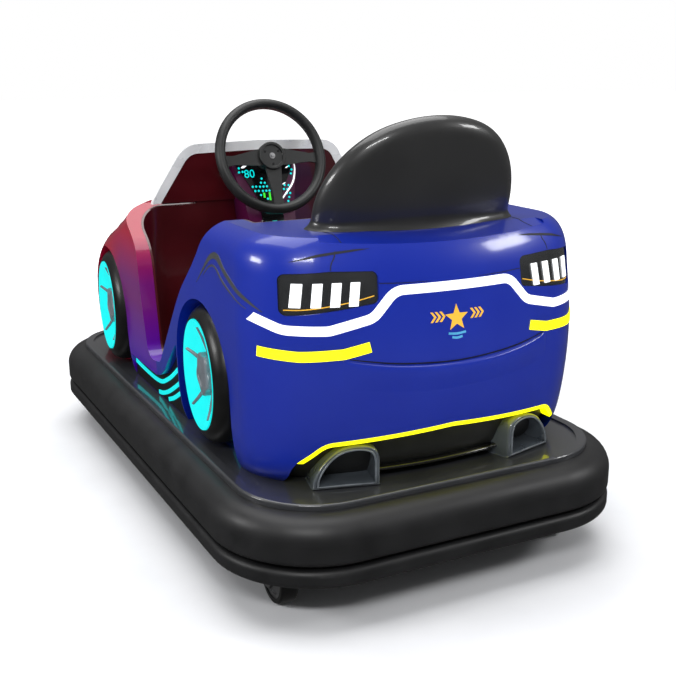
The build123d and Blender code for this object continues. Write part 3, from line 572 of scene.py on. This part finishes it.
# %% Side tyres and hubs
sides = (("left", 1), ("right", -1))
wheel_face, wheel_height = 0.437, 0.446
wheel_places = {"rear": 0.362, "front": -0.457}
wheel_toe = np.radians(5.0)
tyre_section = [(-0.0740, 0.1335), (-0.0740, 0.1500), (-0.0705, 0.1625), (-0.0600, 0.1680),
                (-0.0450, 0.1690), (-0.0310, 0.1675), (-0.0190, 0.1620), (-0.0095, 0.1530),
                (-0.0035, 0.1430), (-0.0015, 0.1370), (-0.0030, 0.1335)]
# Share of the cap's radius in from its edge, and place along the axle.
cap_steps = [(0.0, -0.031), (0.0, -0.016), (0.01, -0.0137), (0.03, -0.0121), (0.07, -0.0107),
             (0.14, -0.0098), (0.3, -0.0092), (0.36, -0.0092), (0.40, -0.0112), (0.8, -0.0106),
             (0.985, -0.0105)]
cap_radius, cap_wave = 0.050, 0.005
arm_from, arm_to, arm_high, arm_lift = 0.035, 0.116, 0.0045, 0.001
arm_turns = np.radians(18 + 72 * np.arange(5))


def on_wheel(points, y, side):
    """Points about the X axle, turned by the toe, set at the wheel's place; side -1 mirrors."""
    x = points[..., 0] * np.cos(wheel_toe) + points[..., 1] * np.sin(wheel_toe) + wheel_face
    along = -points[..., 0] * np.sin(wheel_toe) + points[..., 1] * np.cos(wheel_toe) + y
    return np.stack([side * x, along, points[..., 2] + wheel_height], axis=-1)


def turned(section, count):
    """A section of (x, r) points carried round X: (x, r cos a, r sin a)."""
    section = np.array(section)
    angle = np.linspace(0, 2 * np.pi, count, endpoint=False)[:, None]
    return np.stack([section[:, 0] * np.ones_like(angle), section[:, 1] * np.cos(angle),
                     section[:, 1] * np.sin(angle)], axis=-1)


def dish_depth(radius):
    """The lit dish's face: flat at -30 mm to 56 mm from the axle, then rising to the rim."""
    return np.interp(radius, [0.0, 0.056, 0.093, 0.124, 0.133], [-0.030, -0.030, -0.017, -0.003, 0.0])


def cap_surface():
    """Ring s: radius (1 - s) (50 mm + 5 mm cos 5(a - 54 degrees)), from the dish up to the dome."""
    angle = np.linspace(0, 2 * np.pi, 60, endpoint=False)[:, None]
    inward, place = np.array(cap_steps).T
    radius = (1 - inward) * (cap_radius + cap_wave * np.cos(5 * (angle - np.radians(54))))
    return np.stack([place + 0 * angle, radius * np.cos(angle), radius * np.sin(angle)], axis=-1)


def arm_surface(turn):
    """An arm along radius r from 35 to 116 mm: half width 8 mm down to 4 mm, an oval section
    4.5 mm high whose middle lies 1 mm above the dish, turned about the axle."""
    r = np.linspace(arm_from, arm_to, 18)[:, None]
    a = np.linspace(0, 2 * np.pi, 16, endpoint=False)[None]
    wide = np.interp(r, [arm_from, arm_to], [0.008, 0.004]) * np.cos(a)
    x = dish_depth(r) + arm_lift + arm_high * np.sin(a)
    return np.stack([x, r * np.cos(turn) - wide * np.sin(turn), r * np.sin(turn) + wide * np.cos(turn)],
                    axis=-1)


tyre_curve = smooth_line(tyre_section, 30)
caps, arms = [], []
for end, wheel_y in wheel_places.items():
    for side_name, side in sides:
        shape = on_wheel(turned(tyre_curve, 96), wheel_y, side)
        tyre = add_piece(f"tyre_{end}_{side_name}", grid_part(shape, True, True),
                         tyre_rubber, "chassis", sharp=50)
        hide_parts(f"side_tyre_{end}_{side_name}")
        caps.append(grid_part(on_wheel(cap_surface(), wheel_y, side), wrap_rows=True))
        arms += [grid_part(on_wheel(arm_surface(turn), wheel_y, side), wrap_cols=True)
                 for turn in arm_turns]
hubs = add_piece("wheel_hubs", join_parts(caps + arms), hub_plastic, "chassis", sharp=40)
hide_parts("side_hubs")
print("tyres and hubs are in")

# %% [markdown]
# The exhaust pods are moulded scoops: upright on the inner side, slanted and widely rounded on
# the outer side. One closed outline is carried from inside the body out to the rim, over the rim
# and back down into the blind mouth; at each step it is shrunk towards a point inside the mouth.
# A round bead lines the mouth; its lighter plastic is a painted highlight along the mouth's edge.

# %% Exhaust pods
pod_outline = [(0.000, 0.004), (0.000, 0.035), (0.001, 0.064), (0.010, 0.084), (0.032, 0.093),
               (0.062, 0.094), (0.092, 0.087), (0.118, 0.068), (0.138, 0.042), (0.148, 0.020),
               (0.150, 0.004), (0.146, 0.000), (0.075, 0.000), (0.004, 0.000)]
pod_turn = np.radians(15.0)
pod_place = (0.172, 0.785, 0.2706)
pod_middle = np.array([0.070, 0.044])
mouth_share, bead_radius = 0.855, 0.0026
# How much the outline grows about the middle, and how far back the ring lies.
pod_steps = [(0.070, -0.150), (0.025, -0.080), (0.006, -0.030), (0.0, -0.008), (-0.02, -0.002),
             (-0.06, 0.000), (-0.12, -0.001), (-0.155, -0.005), (-0.17, -0.012), (-0.19, -0.040),
             (-0.22, -0.074), (-0.30, -0.078), (-0.60, -0.079), (-0.97, -0.079)]


def set_pod(across, up, back, side):
    """A point turned about Z by 15 degrees and set against the tail."""
    x = across * np.cos(pod_turn) + back * np.sin(pod_turn) + pod_place[0]
    y = -across * np.sin(pod_turn) + back * np.cos(pod_turn) + pod_place[1]
    return np.stack([side * x, y, up + pod_place[2]], axis=-1)


def pod_line():
    """The smoothed outline, kept on or above its foot."""
    line = smooth_line(pod_outline, 72, closed=True)
    return np.stack([line[:, 0], np.maximum(line[:, 1], 0.0)], axis=1)


def pod_surface(side):
    """Ring k: middle + (1 + grow_k) (outline - middle) at depth y_k; the foot never goes under
    the deck."""
    grow = np.array(pod_steps)[:, 0][:, None, None]
    depth = np.array(pod_steps)[:, 1][:, None]
    flat = pod_middle + (1 + grow) * (pod_line() - pod_middle)
    flat[:4, :, 1] = np.maximum(flat[:4, :, 1], 0.0)
    return set_pod(flat[..., 0], flat[..., 1], depth + 0 * flat[..., 0], side)


def pod_lip(side):
    """A round bead of 2.6 mm radius round the mouth: line + r cos a outwards + r sin a back."""
    line = pod_middle + mouth_share * (pod_line() - pod_middle)
    out = (line - pod_middle) / np.linalg.norm(line - pod_middle, axis=1, keepdims=True)
    a = np.linspace(0, 2 * np.pi, 12, endpoint=False)[None, :, None]
    flat = line[:, None] + bead_radius * np.cos(a) * out[:, None]
    depth = bead_radius * np.sin(a[..., 0]) + 0 * flat[..., 0]
    return set_pod(flat[..., 0], flat[..., 1], depth, side)


pods = join_parts([grid_part(pod_surface(side), wrap_cols=True) for side in (1, -1)])
pod_piece = add_piece("pods_moulded", pods, pod_plastic, "chassis", sharp=60)
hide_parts("exhaust_pods")
# The bead wears the lighter hub plastic: a painted highlight round each mouth.
lips = join_parts([grid_part(pod_lip(side), wrap_rows=True, wrap_cols=True) for side in (1, -1)])
add_piece("pod_lip_highlights", lips, hub_plastic, "chassis", sharp=60)
print("pods are in")


# %% [markdown]
# Decals, seams and dark crease lines lie on the body's curved skin. The crease lines are painted
# shade: the shadow under the tail's overhanging top edge, and the shade in a crease that runs in
# from each tail lamp. Each is drawn flat as a ribbon or an outline, carried straight along one axis
# until it meets the CAD body (Shrinkwrap's projection), and then given a thickness of a millimetre
# (Solidify). Both modifiers are applied, so the piece is a plain closed mesh.

# %% Ribbons laid on the body
behind_tail, beside_car, above_car = 0.95, 0.6, 1.2


def ribbon(points, widths, count, across=3):
    """A smooth line with a width at each point: line + w n, where n is the line's normal."""
    line = smooth_line(points, count)
    wide = smooth_line(np.array(widths, float)[:, None], count)
    step = np.gradient(line, axis=0)
    normal = np.stack([-step[:, 1], step[:, 0]], axis=1)
    normal /= np.linalg.norm(normal, axis=1, keepdims=True)
    share = np.linspace(-0.5, 0.5, across)[None, :, None]
    return line[:, None] + share * np.maximum(wide, 0.0002)[:, None] * normal[:, None]


def add_wrap(draft, node, axis, way, lift):
    """Shrinkwrap's projection along axis (0 is X, 1 is Y, 2 is Z) onto a node."""
    wrap = draft.modifiers.new("lay", "SHRINKWRAP")
    wrap.target = nodes[node]
    wrap.wrap_method = "PROJECT"
    wrap.use_project_x, wrap.use_project_y, wrap.use_project_z = axis == 0, axis == 1, axis == 2
    wrap.use_positive_direction, wrap.use_negative_direction = way > 0, way < 0
    wrap.offset = lift


def lay_on(name, part, node, axis, way, finish, lift=0.0004, thick=0.001):
    """Carries a flat part along an axis onto a node and thickens it."""
    draft = add_mesh(name + "_draft", part, finish)
    add_wrap(draft, node, axis, way, lift)
    skin = draft.modifiers.new("thickness", "SOLIDIFY")
    skin.thickness = thick
    skin.offset = 0.0
    return finish_piece(add_baked(name, draft), "chassis")


def at_tail(flat):
    """(x, z) points on a plane behind the tail."""
    return np.insert(flat, 1, behind_tail, axis=-1)


def at_side(flat, side):
    """(y, z) points on a plane beside the car."""
    return np.insert(flat, 0, beside_car * side, axis=-1)


def both_ways(flat):
    """The same ribbon at x and at -x."""
    return join_parts([grid_part(at_tail(flat)), grid_part(at_tail(flat * [-1, 1]))])


decal_olive = make_finish(
    "decal_olive", shade(58, 60, 62), shade(66, 67, 66), (0.3, 0.4), coat=0.8, broad=8.0)
# The dark seam finish marks real panel joints, and on the crease lines it is painted shade.
seam_and_shade_dark = make_finish("seam_and_shade_dark", shade(16, 18, 34), shade(24, 26, 42), (0.5, 0.6), broad=9.0)

swoosh = ribbon([(0.350, 0.668), (0.392, 0.706), (0.440, 0.742), (0.482, 0.748), (0.530, 0.722),
                 (0.585, 0.700), (0.640, 0.682), (0.684, 0.664)],
                [0.001, 0.006, 0.012, 0.016, 0.013, 0.011, 0.007, 0.001], 90)
under_swoosh = ribbon([(0.392, 0.692), (0.430, 0.718), (0.468, 0.724), (0.515, 0.700),
                       (0.575, 0.681), (0.640, 0.664)],
                      [0.001, 0.004, 0.005, 0.006, 0.004, 0.001], 70)
for side_name, side in sides:
    lines = join_parts([grid_part(at_side(swoosh, side)), grid_part(at_side(under_swoosh, side))])
    lay_on(f"swoosh_{side_name}", lines, "rear_body", 0, -side, decal_olive, thick=0.0008)

hatch_seam = ribbon([(0.262, 0.790), (0.266, 0.778), (0.275, 0.763), (0.280, 0.734)],
                    [0.0022] * 4, 30, across=2)
crease_line = ribbon([(-0.250, 0.568), (-0.160, 0.553), (-0.080, 0.546), (0.0, 0.543),
                      (0.080, 0.546), (0.160, 0.553), (0.250, 0.568)],
                     [0.002, 0.003, 0.003, 0.003, 0.003, 0.003, 0.002], 90)
# Painted shadow under the tail's overhanging top edge, and painted shade in a crease that runs in from
# each tail lamp.
upper_crease_shadow = ribbon([(0.353, 0.770), (0.325, 0.7765), (0.2935, 0.783), (0.228, 0.790),
                       (0.190, 0.7925)], [0.0005, 0.003, 0.005, 0.004, 0.0005], 50, across=2)
lamp_crease_shade = ribbon([(0.180, 0.7225), (0.130, 0.7205), (0.060, 0.7195)], [0.0016, 0.0016, 0.0004],
                     30, across=2)
deck_seam = ribbon([(0.246, 0.640), (0.240, 0.700), (0.244, 0.738)], [0.0022] * 3, 30, across=2)
above = [grid_part(np.insert(flat, 2, above_car, axis=-1)) for flat in (deck_seam, deck_seam * [-1, 1])]
seams = [("hatch_seams", both_ways(hatch_seam), 1),
         ("crease_seam", grid_part(at_tail(crease_line)), 1),
         ("upper_crease_shadows", join_parts([both_ways(upper_crease_shadow), both_ways(lamp_crease_shade)]), 1),
         ("deck_seams", join_parts(above), 2)]
for name, part, axis in seams:
    lay_on(name, part, "rear_body", axis, -1, seam_and_shade_dark, lift=0.0001)
vent = ribbon([(-0.364, 0.712), (-0.390, 0.697), (-0.408, 0.680), (-0.419, 0.664)],
              [0.002, 0.011, 0.010, 0.002], 30)
for side_name, side in sides:
    lay_on(f"fender_vent_{side_name}", grid_part(at_side(vent, side)), "front_body", 0, -side,
           satin_black, thick=0.0008)
print("swooshes, creases, seams and vents are in")

# %% [markdown]
# Three lit bands curve down from each rear wheel along the black sill. The sill's face is flat,
# so they are ribbons two millimetres thick on that plane, with smooth bends, and they take the
# place of the CAD's bands.

# %% Sill bands
band_lines = [[(-0.266, 0.3160), (-0.210, 0.3130), (-0.139, 0.3110), (-0.074, 0.3115), (-0.023, 0.3175),
               (0.018, 0.3325), (0.069, 0.3576), (0.130, 0.3950), (0.170, 0.4215)],
              [(-0.052, 0.2800), (-0.017, 0.2866), (0.031, 0.3035), (0.086, 0.3304), (0.130, 0.3545),
               (0.170, 0.3780)],
              [(0.034, 0.2830), (0.077, 0.2990), (0.130, 0.3260), (0.170, 0.3485)]]
sill_inner, sill_outer = 0.4053, 0.4073
bands = []
for line in band_lines:
    flat = ribbon(line, [0.0115] * len(line), 70)
    outer = np.insert(flat, 0, sill_outer, axis=2)
    inner = np.insert(flat, 0, sill_inner, axis=2)[:, ::-1]
    left = np.concatenate([outer, inner], axis=1)
    bands += [grid_part(half, wrap_cols=True) for half in (left, left * [-1, 1, 1])]
band_piece = add_piece("sill_bands", join_parts(bands), cyan_glow, "chassis", sharp=50)
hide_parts("sill_lights")
print("sill bands are in")


# %% [markdown]
# Below the crease the tail carries a shallow lip that catches the light. It is a ribbon of the
# body's own finish laid on the tail, then lifted by a soft bump: highest near its upper edge and
# gone at the lower edge and both ends.

# %% Tail lip
lip_half, lip_depth, lip_rise, lip_back = 0.262, 0.062, 0.011, 0.002
lip_cells = (121, 25)


def add_tail_lip():
    """Lift = 11 mm s(u) b(v): s falls to nothing at both ends as cos(pi u / 2)^0.6 and b rises
    quickly from the upper edge and dies away slowly, as v^0.35 (1 - v)^1.4 scaled to 1."""
    u, v = np.meshgrid(np.linspace(-1, 1, lip_cells[0]), np.linspace(0, 1, lip_cells[1]), indexing="ij")
    top = 0.5415 + 0.025 * np.abs(u) ** 2.2
    sheet = at_tail(np.stack([lip_half * u, top - lip_depth * v], axis=-1))
    draft = add_mesh("tail_lip_draft", grid_part(sheet), blue_gelcoat)
    add_wrap(draft, "rear_body", 1, -1, 0.0)
    mesh = bake(draft)
    bpy.data.objects.remove(draft)
    points = read_points(mesh).reshape(*lip_cells, 3)
    bump = v ** 0.35 * (1 - v) ** 1.4
    lift = lip_rise * np.cos(np.pi / 2 * u) ** 0.6 * bump / bump.max()
    front = points + np.stack([0 * lift, lift, 0 * lift], axis=-1)
    back = points - [0.0, lip_back, 0.0]
    ring = np.concatenate([front, back[:, ::-1]], axis=1)
    add_piece("tail_lip", grid_part(ring, wrap_cols=True), blue_gelcoat, "chassis", sharp=50)


add_tail_lip()
print("tail lip is in")

# %% [markdown]
# The badge place on the tail carries nothing but plain chevrons either side of a plain star, all
# generic marks of the same size as what a fairground would put there.

# %% Chevrons and star
def chevron(x, z, way):
    """A bent bar: two straight runs that meet 9 mm further along."""
    line = np.array([(x, z - 0.011), (x + way * 0.009, z), (x, z + 0.011)])
    return np.stack([line - [0.0028, 0], line + [0.0028, 0]], axis=1)


def star_part(x, z, outer, inner):
    """Ten points at two radii by turns round a middle point, joined by ten triangles."""
    angle = np.pi / 2 + np.arange(10) * np.pi / 5
    radius = np.where(np.arange(10) % 2 == 0, outer, inner)
    flat = np.stack([x + radius * np.cos(angle), z + radius * np.sin(angle)], axis=1)
    points = at_tail(np.concatenate([flat, [[x, z]]]))
    return points, [[k, (k + 1) % 10, 10] for k in range(10)]


marks = [grid_part(at_tail(chevron(x, 0.642, -1))) for x in (0.066, 0.055, 0.044)]
marks += [grid_part(at_tail(chevron(x, 0.642, -1))) for x in (-0.034, -0.045, -0.056)]
lay_on("badge_chevrons", join_parts(marks), "rear_body", 1, -1, amber_glow, thick=0.0012)
sky_decal = make_finish("sky_decal", shade(60, 150, 205), shade(90, 180, 225), (0.3, 0.4), coat=0.6)
lay_on("badge_star", star_part(0.004, 0.636, 0.030, 0.0125), "rear_body", 1, -1, amber_glow,
       thick=0.0012)
bars = [grid_part(at_tail(ribbon([(x - w, z), (x, z - 0.002), (x + w, z)], [0.005] * 3, 15)))
        for x, z, w in ((0.004, 0.604, 0.022), (0.004, 0.595, 0.013))]
lay_on("badge_bars", join_parts(bars), "rear_body", 1, -1, sky_decal, thick=0.0012)
lamp_line = ribbon([(0.368, 0.672), (0.330, 0.674), (0.280, 0.680), (0.235, 0.687), (0.190, 0.697)],
                   [0.002] * 5, 50, across=2)
lay_on("lamp_lines", both_ways(lamp_line), "tail_lamps", 1, -1, amber_glow, lift=0.0002)
print("badge marks are in")

# %% [markdown]
# The wheel and the display lie on two parallel planes that lean by 21 degrees. Small marks on
# them are flat outlines stood up by a fraction of a millimetre. A plane is an origin, a direction
# across to the car's right, one up the plane and one out of it towards the driver.

# %% Planes of the wheel and the display
lean = np.radians(21.0)
plane_right = np.array([-1.0, 0.0, 0.0])
plane_up = np.array([0.0, -np.sin(lean), np.cos(lean)])
plane_out = np.array([0.0, np.cos(lean), np.sin(lean)])
wheel_middle = np.array([0.0, -0.178, 0.900])
screen_foot = np.array([0.0, -0.150, 0.653]) + 0.0043 * plane_out
mark_rise = 0.0005


def on_plane(outline, u, v, origin, height, start=0.0):
    """An outline moved to (u, v) on the plane and stood up from start by height."""
    flat = np.array(outline, float) + [u, v]
    return prism_part(flat, origin + start * plane_out, plane_right, plane_up, height * plane_out)


# Places of the dots and of the blocks, in millimetres on the display.
dots = [(-88, 237), (-76, 236), (-83, 225), (-17, 191), (-21, 179), (-9, 178), (-49, 168), (-38, 168),
        (-26, 167), (-15, 167), (-4, 167), (-43, 155), (-32, 155), (-19, 154), (-8, 154), (2, 154),
        (-27, 142), (-7, 130), (77, 225), (84, 214), (80, 202), (53, 168), (66, 167), (49, 156),
        (60, 155), (56, 143), (67, 143), (62, 131), (57, 119), (-84, 213), (-73, 214)]
dot = ring_outline(0.0034, 10)
dot_parts = [on_plane(dot, u / 1000, v / 1000, screen_foot, mark_rise) for u, v in dots]
blocks = [(15, 59), (37, 58), (15, 47), (37, 46), (-7, 58), (-7, 47)]
block_outline = np.array([(-0.0075, -0.004), (0.0075, -0.004), (0.0075, 0.004), (-0.0075, 0.004)])
dot_parts += [on_plane(block_outline, u / 1000 - 0.012, v / 1000, screen_foot, mark_rise)
              for u, v in blocks]
add_piece("display_dots", join_parts(dot_parts), cyan_glow, "chassis", sharp=30)

leaf = smooth_line([(-0.011, -0.004), (-0.003, -0.005), (0.007, 0.001), (0.012, 0.006),
                    (0.003, 0.005), (-0.006, 0.001)], 24, closed=True)
# The white glowing line along the display's right edge is a painted highlight on that edge; the leaves
# are the display's own marks.
edge_highlight_line = ribbon([(0.095, 0.236), (0.0935, 0.210), (0.079, 0.172), (0.040, 0.128), (0.036, 0.110)],
                   [0.002, 0.004, 0.005, 0.004, 0.002], 40, across=2)
edge_highlight_loop = np.concatenate([edge_highlight_line[:, 0], edge_highlight_line[::-1, 1]])
white_parts = [on_plane(leaf, -0.065, 0.230, screen_foot, mark_rise),
               on_plane(0.5 * leaf, 0.052, 0.173, screen_foot, mark_rise),
               on_plane(0.5 * leaf, 0.070, 0.222, screen_foot, mark_rise),
               on_plane(edge_highlight_loop, 0.0, 0.0, screen_foot, 0.0012)]
add_piece("display_white_marks_and_edge_highlight", join_parts(white_parts), white_glow, "chassis", sharp=30)

bar_tall = [(-0.003, -0.012), (0.0025, -0.012), (0.003, 0.012), (-0.0025, 0.012)]
bar_short = [(-0.003, -0.0075), (0.003, -0.0075), (0.003, 0.0075), (-0.003, 0.0075)]
green_parts = [on_plane(bar_tall, 0.001, 0.137, screen_foot, 0.0006),
               on_plane(bar_short, -0.0165, 0.141, screen_foot, 0.0006)]
add_piece("display_green_bars", join_parts(green_parts), green_glow, "chassis", sharp=30)
print("display marks are in")


# %% [markdown]
# The speed number is a text curve. It is turned into a mesh first; only then are its points
# placed on the display's plane, so that the finished piece lies at the origin like the rest.

# %% Speed number
def add_number(name, words, height, u, v):
    """point = foot + (x + u) right + (y + v) up the plane + (z + 0.5 mm) out of it."""
    curve = bpy.data.curves.new(name, "FONT")
    curve.body = words
    curve.size = height
    curve.extrude = 0.0004
    curve.align_x, curve.align_y = "CENTER", "CENTER"
    draft = bpy.data.objects.new(name + "_draft", curve)
    bpy.context.scene.collection.objects.link(draft)
    piece = add_baked(name, draft)
    local = read_points(piece.data)
    placed = (screen_foot + (local[:, :1] + u) * plane_right + (local[:, 1:2] + v) * plane_up
              + (local[:, 2:] + mark_rise) * plane_out)
    piece.data.vertices.foreach_set("co", placed.ravel())
    piece.data.materials.clear()
    piece.data.materials.append(cyan_glow)
    finish_piece(piece, "chassis")


add_number("display_number", "80", 0.034, -0.053, 0.206)

# %% [markdown]
# The wheel's boss has a dark groove, three small sunk screws and one bright bolt. They ride with
# the wheel and turn with it.

# %% Boss of the steering wheel
boss_top, groove_radius = 0.007, 0.0325


def round_boss(count):
    """cos a right + sin a up the plane, for count angles."""
    angle = np.linspace(0, 2 * np.pi, count, endpoint=False)[:, None]
    return np.cos(angle) * plane_right + np.sin(angle) * plane_up


screws = [on_plane(ring_outline(0.0036, 16), u, v, wheel_middle, 0.0006, boss_top)
          for u, v in ((-0.021, 0.013), (0.021, 0.013), (0.0, -0.024))]
add_piece("boss_screws", join_parts(screws), gloss_black, "steering_wheel")
groove_side = round_boss(64)
groove_path = wheel_middle + boss_top * plane_out + groove_radius * groove_side
groove = sweep_part(groove_path, ring_outline(0.0011, 8), groove_side, plane_out, closed=True)
add_piece("boss_groove", groove, gloss_black, "steering_wheel", sharp=60)
bolt_angle = np.linspace(0, 2 * np.pi, 24, endpoint=False)
hexagon = np.cos(np.pi / 6) / np.cos(bolt_angle % (np.pi / 3) - np.pi / 6)
washer_radius = np.full((2, 24), 0.0088)
head_radius = np.array([[0.0056], [0.0056], [0.0048]]) * hexagon
bolt_radius = np.concatenate([washer_radius, head_radius])[..., None]
bolt_height = np.array([0.0, 0.0012, 0.0013, 0.0042, 0.0050])[:, None, None]
bolt = wheel_middle + (boss_top + bolt_height) * plane_out + bolt_radius * round_boss(24)
add_piece("boss_bolt", grid_part(bolt, wrap_cols=True), worn_steel, "steering_wheel", sharp=30)
print("boss is in")

# %% [markdown]
# The seat's two pads are foam under vinyl. Each starts as a slightly smaller rounded block, is
# remeshed finely, and is blown up as cloth for twenty frames with gravity off, which pulls its
# sides in between the corners. How far a point may move is capped. The sewn channels come after,
# because remeshing would lose them.

# %% A block blown up as cloth
block_power, block_lines = 6.0, 25
cloth_voxel, cloth_pressure, cloth_cap = 0.006, 4.0, 0.010


def block_part(low, high):
    """A rounded block: a cube's grid pushed so that |x|^p + |y|^p + |z|^p = 1, then scaled."""
    low, high = np.array(low), np.array(high)
    line = np.linspace(-1, 1, block_lines)
    a, b = np.meshgrid(line, line, indexing="ij")
    parts = []
    for axis in range(3):
        for way in (-1, 1):
            face = [None] * 3
            face[axis] = way * np.ones_like(a)
            face[(axis + 1) % 3] = a
            face[(axis + 2) % 3] = b
            points = np.stack(face, axis=-1)
            size = (np.abs(points) ** block_power).sum(axis=-1, keepdims=True) ** (1 / block_power)
            parts.append(grid_part(points / size * (high - low) / 2 + (high + low) / 2))
    return join_parts(parts)


def blow_up(piece):
    """Remesh, twenty frames of pressure, and no point further than the cap from its start."""
    remesh = piece.modifiers.new("remesh", "REMESH")
    remesh.mode = "VOXEL"
    remesh.voxel_size = cloth_voxel
    piece.data = bake(piece)
    piece.modifiers.clear()
    start = read_points(piece.data)
    cloth = piece.modifiers.new("cloth", "CLOTH")
    cloth.settings.use_pressure = True
    cloth.settings.uniform_pressure_force = cloth_pressure
    cloth.settings.effector_weights.gravity = 0.0
    cloth.settings.quality = 6
    for number in range(1, 21):
        bpy.context.scene.frame_set(number)
    piece.data = bake(piece)
    piece.modifiers.clear()
    move = read_points(piece.data) - start
    far = np.maximum(np.linalg.norm(move, axis=1, keepdims=True), 1e-9)
    kept = start + move * np.minimum(1.0, cloth_cap / far)
    piece.data.vertices.foreach_set("co", kept.ravel())
    bpy.context.scene.frame_set(1)


# %% [markdown]
# The cushion is sewn from above. The back pad leans against the cabin's rear wall: it is sewn
# from the front and then sheared, so that the higher a point is, the less it stands out.

# %% Seat and back pads
channel_places, channel_width, channel_depth = (-0.158, 0.0, 0.158), 0.005, 0.006
back_wall, back_foot, back_rise, back_shear = 0.4637, 0.4826, 0.3014, 0.42


def channel_depths(points):
    """Depth times exp(-(distance / width)^2) from each channel, which lies at one place in X."""
    across = np.subtract.outer(points[:, 0], channel_places) / channel_width
    return channel_depth * np.exp(-across ** 2).sum(axis=1)


def sew_seat(points):
    """z falls by the channels' depth, fully from 465 mm up and not at all below 440 mm."""
    points[:, 2] -= channel_depths(points) * np.clip((points[:, 2] - 0.44) / 0.025, 0, 1)


def sew_back(points):
    """y moves back by the channels' depth, fully ahead of 405 mm and not at all behind 430 mm;
    then y = wall - (wall - y) (1 - 0.42 s), where s is how far up the pad a point lies."""
    points[:, 1] += channel_depths(points) * np.clip((0.43 - points[:, 1]) / 0.025, 0, 1)
    s = np.clip((points[:, 2] - back_foot) / back_rise, 0, 1)
    points[:, 1] = back_wall - (back_wall - points[:, 1]) * (1 - back_shear * s)


def add_pad(name, low, high, sew, node):
    """A block, blown up, sewn, and divided once."""
    piece = add_mesh(name, block_part(low, high), pad_vinyl)
    work = bmesh.new()
    work.from_mesh(piece.data)
    bmesh.ops.remove_doubles(work, verts=work.verts, dist=1e-5)
    bmesh.ops.recalc_face_normals(work, faces=work.faces)
    work.to_mesh(piece.data)
    work.free()
    blow_up(piece)
    points = read_points(piece.data)
    sew(points)
    piece.data.vertices.foreach_set("co", points.ravel())
    smooth = piece.modifiers.new("round", "SUBSURF")
    smooth.levels = smooth.render_levels = 1
    piece.data = bake(piece)
    piece.modifiers.clear()
    piece.data.materials.clear()
    piece.data.materials.append(pad_vinyl)
    piece.data.shade_smooth()
    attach(piece, "chassis")
    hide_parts(node)
    print(name, "points:", len(piece.data.vertices))


add_pad("seat_pad", (-0.309, 0.134, 0.4075), (0.309, 0.453, 0.474), sew_seat, "seat_cushion")
add_pad("back_pad", (-0.309, 0.394, 0.490), (0.309, 0.456, 0.778), sew_back, "seat_back")

# %% [markdown]
# In the footwell lies a ribbed rubber mat: a toothed section carried along the car. Under the
# diffuser runs a dark lip that follows the tail's arc, an oval section on an arc of 1.012 m.

# %% Floor mat and diffuser lip
mat_top, rib_height, rib_pitch = 0.2786, 0.0012, 0.020
rib_x = np.linspace(-0.290, 0.290, 233)
rib_z = mat_top + rib_height * np.tanh(3 * np.cos(2 * np.pi * rib_x / rib_pitch))
mat_section = np.concatenate([np.stack([rib_x, rib_z], axis=1), [(0.292, 0.2768), (-0.292, 0.2768)]])
mat_ends = np.array([(0.0, -0.255, 0.0), (0.0, 0.125, 0.0)])
mat = sweep_part(mat_ends, mat_section, np.array([1.0, 0, 0]), np.array([0, 0, 1.0]))
add_piece("floor_mat", mat, tyre_rubber, "chassis", sharp=50)

arc_radius, arc_rear, arc_height = 1.012, 0.752, 0.292
lip_oval = (0.012, 0.006)
arc_x = np.linspace(-0.165, 0.165, 60)
arc = np.stack([arc_x, arc_rear - arc_x ** 2 / (2 * arc_radius), np.full(60, arc_height)], axis=1)
lip = sweep_part(arc, ring_outline(1.0, 20) * lip_oval, np.array([0, 1.0, 0]),
                 np.array([0, 0, 1.0]))
add_piece("diffuser_lip", lip, gloss_black, "chassis", sharp=50)
print("mat and lip are in")

# %% [markdown]
# Each headlamp has three bright bars. The lamp's edges slant outwards, so a bar's ends follow two
# straight lines: height = start + slant times the distance from the lamp's inner end.

# %% Headlamp bars
lamp_inner, bar_width = 0.170, 0.012
bar_low, bar_high = (0.598, 0.077), (0.614, 0.231)


def head_bar(x, way):
    """An upright bar that stops 8 mm inside the lamp's slanted edges."""
    edge_x = x + bar_width * np.array([-0.5, 0.5])
    rows = [np.stack([way * edge_x, np.full(2, -0.95), start + slant * (edge_x - lamp_inner)], axis=1)
            for start, slant in (bar_low, bar_high)]
    return grid_part(np.stack(rows, axis=1))


head_bars = [head_bar(x, way) for x in (0.200, 0.232, 0.264) for way in (1, -1)]
lay_on("headlamp_bars", join_parts(head_bars), "headlamps", 1, 1, white_glow)
print("headlamp bars are in")
